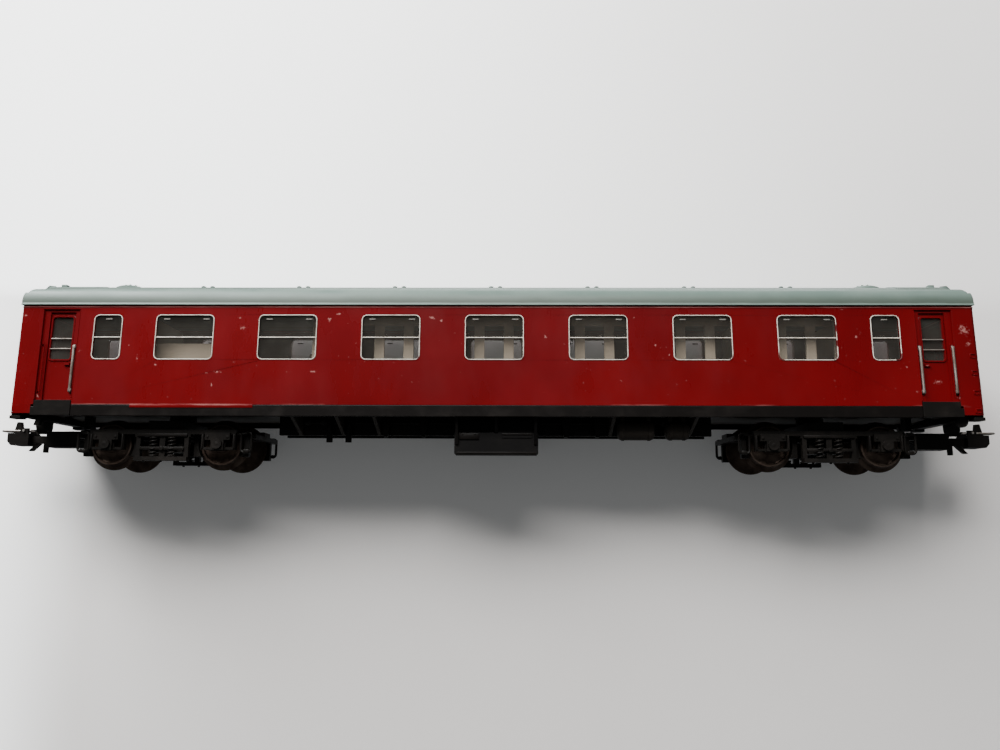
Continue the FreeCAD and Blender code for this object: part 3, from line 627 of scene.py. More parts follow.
@dataclass(frozen=True)
class RoofPlastic:
    """Grey-green roof moulding with painted shade: darker in the long crease and on the lower shoulder above
    the gutter.
    """

    base: Colour = (0.103, 0.148, 0.128)
    pale: Colour = (0.134, 0.179, 0.156)
    # colour of the painted shade in the long crease and above the gutter
    painted_shade: Colour = (0.052, 0.070, 0.055)
    specular: float = 0.3
    crease_y: float = 10.6
    gutter: Tuple[Pair, Pair] = ((45.0, 42.0), (41.6, 42.0))
    shoulder: Pair = (11.4, 13.5)

    def material(self) -> bpy.types.Material:
        """The roof's material.

        Returns:
            The material.
        """
        board = Board("roof_grey_green")
        board.shader.inputs["Specular IOR Level"].default_value = self.specular
        cloud = board.ramp(board.noise(60, 6, 0.6), 0.35, 0.7)
        streak = board.ramp(board.noise(300, 4, 0.6, (0.12, 1, 1)), 0.5, 0.75)
        colour = board.mix(board.maths("MULTIPLY_ADD", streak, 0.35, cloud, clamp=True), self.base, self.pale)
        # painted shade: the long crease and the lower shoulder above the gutter are darkened
        aside = board.maths("ABSOLUTE", board.axis("Y"))
        ragged = board.maths("MULTIPLY_ADD", board.noise(200, 3), 0.5, -0.25)
        near = board.maths("ABSOLUTE", board.maths("SUBTRACT", aside, self.crease_y))
        crease = board.ramp(board.maths("ADD", near, ragged), 1.5, 0.0)
        height = board.maths("ADD", board.axis("Z"), ragged)
        gutter_shade = board.times(board.between(height, *self.gutter), board.ramp(aside, *self.shoulder))
        dust_and_shade = board.most(board.times(crease, 0.5), board.times(gutter_shade, 0.85))
        colour = board.mix(dust_and_shade, colour, self.painted_shade)
        roughness = board.maths("MULTIPLY_ADD", cloud, 0.15, 0.42)
        return board.finish(colour, roughness, board.noise(1600, 4, 0.6), 0.010)


@dataclass(frozen=True)
class BareMetal:
    """Metal with a drawn grain, brown patches and rubbed bright places."""

    name: str
    bright: Colour
    brown: Colour
    patches: Pair = (0.35, 0.7)
    shine: float = 0.28

    def material(self) -> bpy.types.Material:
        """The metal's material.

        Returns:
            The material.
        """
        board = Board(self.name)
        board.shader.inputs["Metallic"].default_value = 1.0
        stain = board.ramp(board.noise(260, 6, 0.65), *self.patches)
        grain = board.noise(1800, 3, 0.5, (1, 0.15, 1))
        colour = board.mix(stain, self.bright, self.brown)
        roughness = board.maths("MULTIPLY_ADD", stain, 0.3, self.shine)
        roughness = board.maths("MULTIPLY_ADD", grain, 0.12, roughness)
        return board.finish(colour, roughness, grain, 0.006)


@dataclass(frozen=True)
class SilverLine:
    """Silver-white printed line on the window rims, worn through at some lower corners."""

    bright: Colour = (0.68, 0.62, 0.54)
    dull: Colour = (0.40, 0.355, 0.30)
    under: Colour = (0.10, 0.006, 0.007)
    worn_x: Tuple[Pair, Pair] = ((-40.0, -36.0), (90.0, 88.0))
    corner: Pair = (20.8, 21.4)
    low: Pair = (30.2, 28.8)
    bald: Tuple[Triple, ...] = ((70.9, 27.6, 1.6), (85.2, 35.4, 1.0), (85.3, 31.4, 0.8), (100.6, 27.6, 1.3))

    def worn(self, board: Board) -> bpy.types.NodeSocket:
        """How far the line is worn: lower corners of the near side, bald places and fine specks.

        Args:
            board: The material in hand.

        Returns:
            A socket from 0, whole, to 1, gone.
        """
        x = board.axis("X")
        ragged = board.times(board.noise(900, 3), 3.0)
        bay = board.maths("MODULO", board.maths("ADD", x, PITCH * 20.5), PITCH)
        corner = board.ramp(board.maths("ADD", bay, ragged), *self.corner)
        low = board.ramp(board.maths("ADD", board.axis("Z"), board.times(ragged, 0.8)), *self.low)
        first, last = (board.ramp(x, *limits) for limits in self.worn_x)
        near_side = board.ramp(board.axis("Y"), 1.0, -1.0)
        masks = [board.times(board.times(board.times(board.times(corner, low), first), near_side), last)]
        for left, bottom, reach in self.bald:
            distance = board.spot((left, CHIP_Y, bottom), (reach, 2.5, reach))
            masks.append(board.ramp(board.maths("ADD", distance, board.times(ragged, 0.5)), 1.9, 1.5))
        specks = board.ramp(board.noise(1100, 2), 0.70, 0.74)
        return board.most(*masks, board.times(specks, 0.6))

    def material(self) -> bpy.types.Material:
        """The line's material.

        Returns:
            The material.
        """
        board = Board("silver_line")
        tarnish = board.ramp(board.noise(600, 4), 0.45, 0.75)
        colour = board.mix(self.worn(board), board.mix(tarnish, self.bright, self.dull), self.under)
        roughness = board.maths("MULTIPLY_ADD", tarnish, 0.25, 0.3)
        return board.finish(colour, roughness, board.noise(1500, 2), 0.01)


@dataclass(frozen=True)
class ClearGlazing:
    """Clear moulded glazing with slight haze and fine scratches."""

    tint: Colour = (0.10, 0.092, 0.08)
    hazed: Colour = (0.17, 0.16, 0.14)
    see_through: float = 0.12
    index: float = 1.45
    specular: float = 0.4

    def material(self) -> bpy.types.Material:
        """The glazing's material.

        Returns:
            The material.
        """
        board = Board("clear_glazing")
        board.shader.inputs["IOR"].default_value = self.index
        board.shader.inputs["Alpha"].default_value = self.see_through
        board.shader.inputs["Specular IOR Level"].default_value = self.specular
        haze = board.ramp(board.noise(140, 5), 0.4, 0.8)
        scratch = board.noise(2400, 2, 0.5, (0.2, 1, 1))
        colour = board.mix(haze, self.tint, self.hazed)
        return board.finish(colour, board.maths("MULTIPLY_ADD", haze, 0.14, 0.05), scratch, 0.002)


@dataclass(frozen=True)
class PaleSheet:
    """A pale stage finish that only the camera sees, and only from its front.

    Its glow is painted light that no lamp gives: it starts above the coach, where it falls off to the right,
    and beside its left end, and only a faint glow is left below the coach, where its shadow falls.
    """

    name: str
    colour: Colour
    glow: float
    shade: float = 0.97
    specular: float = 0.1
    painted_glow_colour: Colour = (0.93, 0.985, 1.0)
    above: Pair = (45.0, 57.0)
    beside: Pair = (-112.0, -150.0)
    across: Pair = (150.0, -150.0)
    across_gain: Pair = (1.5, 0.2)
    least: float = 0.035

    def material(self) -> bpy.types.Material:
        """The sheet's material.

        Returns:
            The material.
        """
        board = Board(self.name)
        darker = tuple(self.shade * value for value in self.colour)
        board.finish(board.mix(board.ramp(board.noise(18, 3), 0.2, 0.8), self.colour, darker), 0.85)
        board.shader.inputs["Specular IOR Level"].default_value = self.specular
        board.shader.inputs["Emission Color"].default_value = (*self.painted_glow_colour, 1)
        # painted light: emission that brightens the backdrop above the coach and past its left end, and falls
        # off to the right
        across = board.maths("MULTIPLY_ADD", board.ramp(board.axis("X"), *self.across), *self.across_gain)
        above = board.times(board.ramp(board.axis("Z"), *self.above), across)
        strength = board.most(above, board.ramp(board.axis("X"), *self.beside))
        strength = board.maths("MULTIPLY_ADD", strength, self.glow, self.least * self.glow)
        board.wire(strength, board.shader.inputs["Emission Strength"])
        front = board.maths("SUBTRACT", 1.0, board.add("ShaderNodeNewGeometry").outputs["Backfacing"])
        seen = board.add("ShaderNodeLightPath").outputs["Is Camera Ray"]
        blend = board.add("ShaderNodeMixShader")
        board.wire(board.times(front, seen), blend.inputs[0])
        board.wire(board.add("ShaderNodeBsdfTransparent").outputs[0], blend.inputs[1])
        board.wire(board.shader.outputs[0], blend.inputs[2])
        board.wire(blend.outputs[0], board.tree.nodes["Material Output"].inputs["Surface"])
        return board.material


@dataclass
class Paintbox:
    """Every finish of the coach, made once and shared by its pieces."""

    materials: Dict[str, bpy.types.Material] = field(default_factory=dict)

    def mix_all(self) -> None:
        """Makes every material."""
        moulded = (
            ("black", "underframe_black", (0.0062, 0.0054, 0.0048), (0.017, 0.0138, 0.0118), 0.42),
            ("sole", "sole_bar_black", (0.0042, 0.0033, 0.0029), (0.0115, 0.0092, 0.0078), 0.4),
            ("case", "equipment_case_black", (0.0026, 0.0022, 0.0022), (0.006, 0.005, 0.0045), 0.5),
            # lighter black for the shaded underside: painted light standing in for light bounced onto it
            ("dusty", "dusty_underside", (0.030, 0.025, 0.021), (0.060, 0.050, 0.042), 0.5),
            ("rubber", "gangway_rubber", (0.012, 0.012, 0.013), (0.04, 0.04, 0.04), 0.65),
            ("beige", "cabin_beige", (0.46, 0.388, 0.295), (0.355, 0.292, 0.217), 0.5),
            ("seat", "seat_brown", (0.055, 0.038, 0.028), (0.09, 0.065, 0.05), 0.7),
            ("disc", "wheel_disc_plastic", (0.011, 0.012, 0.0085), (0.028, 0.024, 0.018), 0.5),
            ("sleeve", "catch_grey", (0.16, 0.155, 0.14), (0.22, 0.21, 0.19), 0.5))
        metals = (
            ("wire", "rail_wire", (0.30, 0.275, 0.25), (0.15, 0.115, 0.095), (0.3, 0.75), 0.45),
            ("steel", "plain_steel", (0.50, 0.49, 0.47), (0.26, 0.22, 0.19)),
            ("wheel", "browned_wheel", (0.10, 0.075, 0.06), (0.05, 0.034, 0.027), (0.3, 0.7), 0.42),
            ("tread", "worn_tread", (0.72, 0.68, 0.62), (0.36, 0.29, 0.24), (0.45, 0.75), 0.42))
        finishes = {"red": GlossyRed(), "roof": RoofPlastic(), "silver": SilverLine(),
                    "glazing": ClearGlazing()}
        finishes.update({word: MouldedPlastic(*values) for word, *values in moulded})
        finishes.update({word: BareMetal(*values) for word, *values in metals})
        self.materials = {word: finish.material() for word, finish in finishes.items()}

    def dress(self, thing: bpy.types.Object, *names: str) -> None:
        """Gives an object these finishes in place of what it has.

        Args:
            thing: The mesh object.
            names: Finishes by their slot order.
        """
        thing.data.materials.clear()
        for name in names:
            thing.data.materials.append(self.materials[name])


PAINT = Paintbox()


def placed_object(name: str, data: bpy.types.ID) -> bpy.types.Object:
    """A new object of some data, in the scene's collection.

    Args:
        name: Its name.
        data: Its mesh, lamp or camera.

    Returns:
        The object.
    """
    thing = bpy.data.objects.new(name, data)
    bpy.context.scene.collection.objects.link(thing)
    return thing


# --- pieces -------------------------------------------------------------------------------
def make_piece(name: str, build: MeshBuild, finishes: Sequence[str], body: str, slot: str,
               replaces: Sequence[str] = (), smooth: float = 35.0) -> bpy.types.Object:
    """Turns a build into an object that rides on a body.

    Args:
        name: The piece's name.
        build: Its surfaces, in millimetres.
        finishes: Its finishes, by paint index.
        body: The body that carries it.
        slot: The record's material slot. Not used.
        replaces: Nodes that it stands for.
        smooth: Edges that turn by less than this many degrees are shaded smooth.

    Returns:
        The new object.
    """
    mesh = bpy.data.meshes.new(name)
    mesh.from_pydata((np.concatenate(build.points) * MM).tolist(), [], build.faces)
    mesh.polygons.foreach_set("material_index", build.paints)
    work = bmesh.new()
    work.from_mesh(mesh)
    bmesh.ops.remove_doubles(work, verts=work.verts, dist=MERGE * MM)
    bmesh.ops.recalc_face_normals(work, faces=work.faces)
    work.to_mesh(mesh)
    work.free()
    mesh.polygons.foreach_set("use_smooth", [True] * len(mesh.polygons))
    mesh.set_sharp_from_angle(angle=math.radians(smooth))
    piece = placed_object(name, mesh)
    PAINT.dress(piece, *finishes)
    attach(piece, body)
    if replaces:
        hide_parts(*replaces)
    LOG.info("%s: %d faces", name, len(mesh.polygons))
    return piece


def keep_nodes(kept: Sequence[Kept], prefix: str = "") -> None:
    """Keeps designed nodes, softens their edges and gives each a finish.

    Args:
        kept: Name, finish, and edge radius in millimetres or 0 for none, of each node.
        prefix: What every node's name starts with.
    """
    for node, finish, bevel in kept:
        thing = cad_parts[prefix + node]
        PAINT.dress(thing, finish)
        if bevel:
            weld = thing.modifiers.new("weld", "WELD")
            weld.merge_threshold = WELD * MM
            rounding = thing.modifiers.new("rounding", "BEVEL")
            rounding.width = bevel * MM
            rounding.segments = 2
            rounding.limit_method = "ANGLE"
            rounding.angle_limit = math.radians(BEVEL_ANGLE)
            rounding.use_clamp_overlap = True
            rounding.harden_normals = True
            levelling = thing.modifiers.new("levelling", "WEIGHTED_NORMAL")
            levelling.keep_sharp = True
        LOG.info("%s: kept, finish %s", prefix + node, finish)


def side_y(z: object, side: Side, proud: float = 0.0) -> object:
    """Y of the leaning side at a height, and a distance out from it.

    Args:
        z: Height or heights.
        side: Which side.
        proud: Distance out, or in if it is negative.

    Returns:
        Y, as a number or an array.
    """
    return side.value * (SILL_Y - SIDE_LEAN * (np.asarray(z, float) - SILL_Z) / SIDE_HEIGHT + proud)


@dataclass(frozen=True)
class SoftLamp:
    """A rectangular area lamp, in metres and watts, aimed at a height over the coach's middle."""

    name: str
    place: Triple
    size: Pair
    power: float
    aim_z: float = 0.0
    colour: Colour = (1, 1, 1)

    def build(self) -> None:
        """Hangs the lamp."""
        light = bpy.data.lights.new(self.name, "AREA")
        light.shape = "RECTANGLE"
        light.size, light.size_y = self.size
        light.energy = self.power
        light.color = self.colour
        holder = placed_object(self.name, light)
        holder.location = self.place
        aim = Vector((0, 0, self.aim_z)) - Vector(self.place)
        holder.rotation_euler = aim.to_track_quat("-Z", "Y").to_euler()


@dataclass
class Studio:
    """Pale floor and backdrop, soft lights and the camera, whose angles are radians."""

    lens: float = 29.09
    sensor: float = 36.0
    clip: Pair = (0.01, 20.0)
    camera_place: Triple = (3.83, -213.5, -9.06)
    turn: float = 0.01205
    tilt: float = 0.16286
    roll: float = 0.0037
    floor_reach: float = 3000.0
    backdrop_y: float = 17.3
    backdrop_x: float = 240.0
    backdrop_z: Pair = (-140.0, 220.0)
    floor: PaleSheet = PaleSheet("pale_floor", (0.80, 0.80, 0.79), 0.0)
    # the backdrop's glow is painted light
    backdrop: PaleSheet = PaleSheet("pale_backdrop", (0.885, 0.86, 0.845), 1.15)
    sky: Colour = (0.80, 0.82, 0.83)
    sky_strength: float = 0.18
    lamps: Tuple[SoftLamp, ...] = (
        SoftLamp("window_light", (-0.34, -0.13, 0.52), (0.40, 0.22), 7.0, 0.03, (0.97, 0.99, 1.0)),
        SoftLamp("ceiling_light", (-0.12, -0.43, 0.45), (0.56, 0.26), 7.4, 0.0, (1.0, 0.985, 0.965)),
        SoftLamp("rear_fill", (0.1, 0.58, 0.72), (0.8, 0.5), 4.5, 0.02),
    )

    def sheet(self, name: str, corners: np.ndarray, finish: PaleSheet) -> None:
        """A flat stage surface from four corners in millimetres.

        Args:
            name: Its name.
            corners: Its corners.
            finish: Its finish.
        """
        mesh = bpy.data.meshes.new(name)
        mesh.from_pydata((corners * MM).tolist(), [], [(0, 1, 2, 3)])
        mesh.materials.append(finish.material())
        placed_object(name, mesh)

    def build(self) -> None:
        """Makes the stage, the lights and the camera."""
        square = np.array([(-1, -1, 0), (1, -1, 0), (1, 1, 0), (-1, 1, 0)])
        self.sheet("floor", self.floor_reach * square, self.floor)
        x, y, (low, high) = self.backdrop_x, self.backdrop_y, self.backdrop_z
        wall = np.array([(-x, y, low), (x, y, low), (x, y, high), (-x, y, high)])
        self.sheet("backdrop", wall, self.backdrop)
        for lamp in self.lamps:
            lamp.build()
        world = bpy.data.worlds.new("pale_world")
        world.use_nodes = True
        background = world.node_tree.nodes["Background"]
        background.inputs["Color"].default_value = (*self.sky, 1)
        background.inputs["Strength"].default_value = self.sky_strength
        bpy.context.scene.world = world
        self.camera()
        LOG.info("studio: floor, backdrop, %d lamps and camera", len(self.lamps))

    def camera(self) -> None:
        """Sets up the camera from its place, turn, tilt and roll."""
        lens = bpy.data.cameras.new("camera")
        lens.lens = self.lens
        lens.sensor_width = self.sensor
        lens.clip_start, lens.clip_end = self.clip
        level = math.cos(self.tilt)
        ahead = Vector((-math.sin(self.turn) * level, math.cos(self.turn) * level, math.sin(self.tilt)))
        right = Vector((math.cos(self.turn), math.sin(self.turn), 0))
        up = right.cross(ahead)
        rolled = math.cos(self.roll) * right + math.sin(self.roll) * up
        upright = -math.sin(self.roll) * right + math.cos(self.roll) * up
        columns = Matrix((rolled, upright, -ahead)).transposed().to_4x4()
        holder = placed_object("camera", lens)
        holder.matrix_world = Matrix.Translation(Vector(self.camera_place) * MM) @ columns
        bpy.context.scene.camera = holder


@dataclass
class Roof:
    """The moulded roof, its end curves, domes, ventilators and lugs.

    The gutter's points are off the eaves. Profiles are (radius, height) from the crown up.
    """

    half_length: float = 120.4
    eaves: Pair = (15.8, 41.3)
    gutter: Outline = ((0, 0), (0.13, 0.04), (0.13, 0.12), (0.02, 0.34), (-0.06, 0.5), (-0.08, 0.8))
    swell: Pair = (0.95, 0.98)
    crown_radius: float = 26.0
    crown_top: float = 49.2
    crease_y: float = 11.1
    crease_drop: float = 0.28
    end_run: float = 12.2
    shoulder: float = 42.5
    steps: int = 3
    step_depth: float = 0.62
    step_angles: Pair = (36.0, 87.0)
    flat_x: Tuple[float, ...] = (0, 30, 60, 90, 103.48, 103.6, 107.0)
    panel: Pair = (103.6, 117.2)
    panel_lift: float = 0.17
    dome_x: float = 99.7
    dome_profile: Outline = (
        (0.05, -0.6), (4.15, -0.6), (4.15, 0.15), (3.9, 0.42), (3.2, 0.75), (2.5, 0.95), (2.3, 0.86),
        (1.9, 0.88), (1.7, 1.12), (0.9, 1.2), (0.05, 1.2))
    eye_profile: Outline = ((0.3, 0.8), (0.3, 1.2), (0.2, 1.33), (0.05, 1.35))
    eye_ring: float = 1.75
    eye_turn: float = 12.0
    mushroom_profile: Outline = (
        (0.32, -0.48), (0.32, 0.4), (0.62, 0.42), (0.62, 0.56), (0.42, 0.72), (0.05, 0.72))
    mushroom_y: float = -2.0
    mushroom_gap: float = 1.2
    lug_y: Pair = (7.4, 9.0)
    lug_boxes: Tuple[Tuple[float, ...], ...] = ((112.5, 114.1, 47.4, 48.5, 0.0, 0.25),
                                                (115.4, 117.4, 46.4, 48.0, 0.0, 0.3),
                                                (116.4, 118.2, 45.8, 47.4, 0.1, 0.3))
    foothold: Outline = ((115.6, 47.9), (117.2, 48.1), (118.0, 47.3))

    def section(self) -> np.ndarray:
        """The roof's outline across: gutter, shoulder curve, crown arc, and the same mirrored.

        Returns:
            Points (y, z) from the far eaves over the crown to the near eaves.
        """
        crown_z = self.crown_top - self.crown_radius
        crease = np.array([self.crease_y, crown_z + math.sqrt(self.crown_radius ** 2 - self.crease_y ** 2)])
        gutter = np.array(self.gutter) + self.eaves
        middle = (crease + gutter[-1]) / 2
        pull = middle + 2 * np.array(self.swell)
        along = np.linspace(0.04, 1, 16)[:, None]
        end = crease - [0, self.crease_drop]
        curve = (1 - along) ** 2 * gutter[-1] + 2 * along * (1 - along) * pull + along ** 2 * end
        across = np.linspace(self.crease_y - 0.1, 0, 34)
        crown = np.stack([across, crown_z + np.sqrt(self.crown_radius ** 2 - across ** 2)], -1)
        half = np.concatenate([gutter, curve, crown])
        return np.concatenate([half, half[-2::-1] * [-1, 1]])

    def stations(self) -> Tuple[np.ndarray, np.ndarray]:
        """Places along the roof and how high it may reach there.

        Returns:
            X from the middle to the right end, and the height limit that makes the stepped end curve.
        """
        angle = np.radians(np.linspace(0, 90, 181))
        first, last = self.step_angles
        share = np.clip((np.degrees(angle) - first) / (last - first), 0, 0.9999) * self.steps
        cut_in = self.step_depth * (share - np.floor(share)) * (share > 0)
        end_x = self.half_length - self.end_run + (self.end_run - cut_in) * np.sin(angle)
        limit = self.shoulder + (self.crown_top + 0.02 - self.shoulder - cut_in) * np.cos(angle)
        free = np.full(len(self.flat_x), self.crown_top + 1)
        return np.concatenate([self.flat_x, end_x]), np.concatenate([free, limit])

    def shell(self) -> MeshBuild:
        """The roof surface: the section at each station, cut off by the height limit.

        Returns:
            Its surfaces.
        """
        section = self.section()
        x, limit = self.stations()
        x, limit = np.concatenate([-x[:0:-1], x]), np.concatenate([limit[:0:-1], limit])
        grid = np.empty((len(x), len(section), 3))
        grid[..., 0] = x[:, None]
        grid[..., 1] = section[None, :, 0]
        raised = (np.abs(x) >= self.panel[0]) & (np.abs(x) <= self.panel[1])
        lift = self.panel_lift * raised[:, None] * (np.abs(section[:, 0]) < self.crease_y - 0.05)[None]
        grid[..., 2] = np.minimum(section[None, :, 1] + lift, limit[:, None])
        return MeshBuild().grid(grid, wrap=True, caps=True)

    def domes(self) -> MeshBuild:
        """Two low turned covers with a rim, a flat top and small eyes round it.

        Returns:
            Its surfaces.
        """
        build = MeshBuild()
        for x in (self.dome_x, -self.dome_x):
            build.lathe(self.dome_profile, (x, 0, self.crown_top), Axis.Z)
            for angle in np.radians(np.arange(8) * 45 + self.eye_turn):
                place = (x + self.eye_ring * np.cos(angle), self.eye_ring * np.sin(angle), self.crown_top)
                build.lathe(self.eye_profile, place, Axis.Z, 10)
        return build

    def ventilators(self) -> MeshBuild:
        """Pairs of small turned mushrooms above the windows.

        Returns:
            Its surfaces.
        """
        build = MeshBuild()
        for step in WIDE_BAYS:
            for offset in (-self.mushroom_gap, self.mushroom_gap):
                place = (PITCH * step + offset, self.mushroom_y, self.crown_top)
                build.lathe(self.mushroom_profile, place, Axis.Z, 16)
        return build

    def lugs(self) -> MeshBuild:
        """Rounded lugs and footholds on the shoulders of both end curves.

        Returns:
            Its surfaces.
        """
        build = MeshBuild()
        for end in End:
            for side in Side:
                low, high = sorted(side.value * y for y in self.lug_y)
                for x0, x1, z0, z1, inset, radius in self.lug_boxes:
                    build.box((end.value * x0, low + inset, z0), (end.value * x1, high - inset, z1), radius)
                build.tube([(end.value * x, low + 0.3, z) for x, z in self.foothold], 0.2)
        return build

    def build(self) -> None:
        """Makes the roof's pieces."""
        pieces = (("roof_moulding", self.shell(), "roof"), ("roof_dome_covers", self.domes(), "roof_domes"),
                  ("mushroom_ventilators", self.ventilators(), "roof_ventilators"),
                  ("roof_end_lugs", self.lugs(), "roof_lifting_lugs"))
        for name, build, node in pieces:
            make_piece(name, build, ["roof"], COACH, "roof_grey", [node], 28)


@dataclass
class Windows:
    """Silver rims, middle bars and catches of the side windows."""

    wide: float = 14.76
    narrow: float = 7.25
    narrow_x: float = 97.4
    bottom: float = 27.2
    top: float = 38.8
    corner: float = 1.3
    rim: float = 0.115
    rim_proud: float = 0.05
    bar_z: float = 32.95
    bar_proud: float = -0.12
    bar_radius: float = 0.14
    catch_x: Pair = (-4.75, 5.25)
    catch_z: Pair = (37.5, 37.85)
    catch_level: float = 37.7
    catch_proud: Pair = (-0.34, -0.14)
    catch_half: float = 0.8

    def places(self) -> List[Pair]:
        """The middle and the width of each window of a side."""
        wide = [(PITCH * step, self.wide) for step in WIDE_BAYS]
        return [(-self.narrow_x, self.narrow)] + wide + [(self.narrow_x, self.narrow)]

    def rims(self, side: Side) -> MeshBuild:
        """Round-edged rims and bars that follow the leaning side.

        Args:
            side: Which side.

        Returns:
            Its surfaces.
        """
        build = MeshBuild()
        middle_z = (self.bottom + self.top) / 2
        height = self.top - self.bottom - 2 * self.rim
        for x, width in self.places():
            outline = rounded_outline(width - 2 * self.rim, height, self.corner - self.rim) + [x, middle_z]
            build.hoop(upright_path(outline, side_y(outline[:, 1], side, self.rim_proud)), self.rim, 8)
            half = width / 2 - self.rim
            y = side_y(self.bar_z, side, self.bar_proud)
            build.tube([(place, y, self.bar_z) for place in (x - half, x, x + half)], self.bar_radius, 8)
        return build

    def catches(self, side: Side) -> MeshBuild:
        """Small grey catches just inside the top rim, two to a wide window.

        Args:
            side: Which side.

        Returns:
            Its surfaces.
        """
        build = MeshBuild()
        inner, outer = (side_y(self.catch_level, side, proud) for proud in self.catch_proud)
        low, high = self.catch_z
        for x, width in self.places():
            for shift in (0.0,) if width == self.narrow else self.catch_x:
                left, right = x + shift - self.catch_half, x + shift + self.catch_half
                build.box((left, inner, low), (right, outer, high), 0.08)
        return build

    def build(self) -> None:
        """Makes the rims and catches of both sides."""
        for side in Side:
            word = side.name.lower()
            make_piece("window_rims_" + word, self.rims(side), ["silver"], COACH, "silver_trim",
                       ["window_frames_" + word], 50)
            make_piece("window_catches_" + word, self.catches(side), ["sleeve"], COACH, "silver_trim")


@dataclass
class Handrails:
    """Bent wire rails beside the entrance doors. A bend is (distance from the end, distance out)."""

    top: float = 30.9
    bottom: float = 18.9
    middle: Pair = (25.0, 0.09)
    bends: Outline = ((0.1, -1.3), (0.12, -0.25), (0.35, 0.02), (0.8, 0.08))
    radius: float = 0.31
    socket_half: Pair = (0.42, 0.5)
    socket_proud: Pair = (-0.5, 0.26)
    near: Tuple[float, ...] = (-105.5, 105.5, 113.6)
    far: Tuple[float, ...] = (-113.6, -105.5, 105.5, 113.6)

    def rail(self, x: float, side: Side) -> MeshBuild:
        """One rail: straight wire between two bends that go into the side, and a socket at each.

        Args:
            x: Where it stands along the coach.
            side: Which side.

        Returns:
            Its surfaces.
        """
        points = [(self.top - inset, out) for inset, out in self.bends] + [self.middle]
        points += [(self.bottom + inset, out) for inset, out in self.bends[::-1]]
        path = [(x, side_y(z, side, out), z) for z, out in points]
        build = MeshBuild().tube(path, self.radius, 10, (1, 0, 0))
        wide, high = self.socket_half
        for z in (self.top - high, self.bottom + high):
            inner, outer = (side_y(z, side, proud) for proud in self.socket_proud)
            build.box((x - wide, inner, z - high), (x + wide, outer, z + high), 0.25)
        return build

    def build(self) -> None:
        """Makes the rails of both sides."""
        for side, places in ((Side.NEAR, self.near), (Side.FAR, self.far)):
            build = MeshBuild()
            for x in places:
                build.join(self.rail(x, side))
            word = side.name.lower()
            make_piece("bent_handrails_" + word, build, ["wire"], COACH, "rail_wire", ["handrails_" + word])


@dataclass
class SideTrim:
    """Small moulded trim on the sides: lower lip, corner rungs, door mouldings and rail channels.

    A rung is three boxes, each (first x, last x, lowest z, highest z) with Z from the rung's height.
    A channel is (x, radius, distance out, heights).
    """

    lip: Tuple[Triple, Triple] = ((-90.2, -16.32, 15.05), (-59.6, -15.9, 15.95))
    edge_z: float = 40.75
    edge_x: float = 119.6
    rung_heights: Tuple[float, ...] = (14.6, 19.2, 24.1, 28.4)
    rung_proud: Pair = (-0.3, 0.2)
    rung_boxes: Tuple[Tuple[float, ...], ...] = ((117.6, 118.9, 0.35, 0.65), (117.5, 117.85, -0.5, 0.65),
                                                 (118.0, 118.9, -0.55, -0.3))
    door_window: Triple = (5.9, 11.5, 0.7)
    door_middle: Pair = (109.3, 32.85)
    door_proud: float = -1.05
    channels: Tuple[Tuple[float, float, float, Triple], ...] = (
        (113.05, 0.13, 0.0, (18.2, 25.0, 31.6)), (114.15, 0.13, 0.0, (18.2, 25.0, 31.6)),
        (104.85, 0.11, -0.02, (17.2, 28.0, 40.0)), (114.1, 0.11, -0.02, (17.2, 28.0, 40.0)))

    def mouldings(self) -> MeshBuild:
        """Raised red trim of both sides, each a rounded bar.

        Returns:
            Its surfaces.
        """
        build = MeshBuild()
        build.box(*self.lip, 0.1)
        for side in Side:
            y = side_y(self.edge_z, side)
            path = [(x, y, self.edge_z) for x in (-self.edge_x, 0, self.edge_x)]
            build.tube(path, 0.13, 8, (0, 1, 0))
        for side, end in ((Side.NEAR, End.RIGHT), (Side.FAR, End.LEFT)):
            for z in self.rung_heights:
                inner, outer = (side_y(z, side, proud) for proud in self.rung_proud)
                for x0, x1, low, high in self.rung_boxes:
                    build.box((end.value * x0, inner, z + low), (end.value * x1, outer, z + high), 0.1)
        for side in Side:
            for end in End:
                build.join(self.door_trim(side, end))
        return build

    def door_trim(self, side: Side, end: End) -> MeshBuild:
        """Frame round a door's window, and the mouldings beside the doorway and its outer rail.

        Args:
            side: Which side.
            end: Which end.

        Returns:
            Its surfaces.
        """
        build = MeshBuild()
        middle_x, middle_z = self.door_middle
        outline = rounded_outline(*self.door_window) + [middle_x * end.value, middle_z]
        build.hoop(upright_path(outline, side_y(outline[:, 1], side, self.door_proud)), 0.2, 6)
        for x, radius, proud, heights in self.channels:
            line = [(end.value * x, side_y(z, side, proud), z) for z in heights]
            build.tube(line, radius, 6, (1, 0, 0))
        return build

    def build(self) -> None:
        """Makes the trim."""
        make_piece("moulded_side_trim", self.mouldings(), ["red"], COACH, "red_body")


@dataclass
class CoachBody:
    """Shell, doors, glazing, steps and ends, which keep their designed shapes."""

    kept: Tuple[Kept, ...] = (
        ("body_shell", "red", 0.1),
        ("window_glazing_near", "glazing", 0.0), ("window_glazing_far", "glazing", 0.0),
        ("entry_door_near_right", "red", 0.1), ("entry_door_near_left", "red", 0.1),
        ("entry_door_far_right", "red", 0.1), ("entry_door_far_left", "red", 0.1),
        ("door_panes", "glazing", 0.0), ("door_window_bars", "wire", 0.0), ("door_steps", "black", 0.12),
        ("gangway_doors", "red", 0.1), ("gangway_frames", "rubber", 0.25), ("end_beams", "black", 0.12),
        ("end_lugs", "black", 0.15), ("corner_steps", "black", 0.12),
    )

    def build(self) -> None:
        """Dresses the body and adds its trim."""
        keep_nodes(self.kept)
        for group in (Roof(), Windows(), Handrails(), SideTrim()):
            group.build()


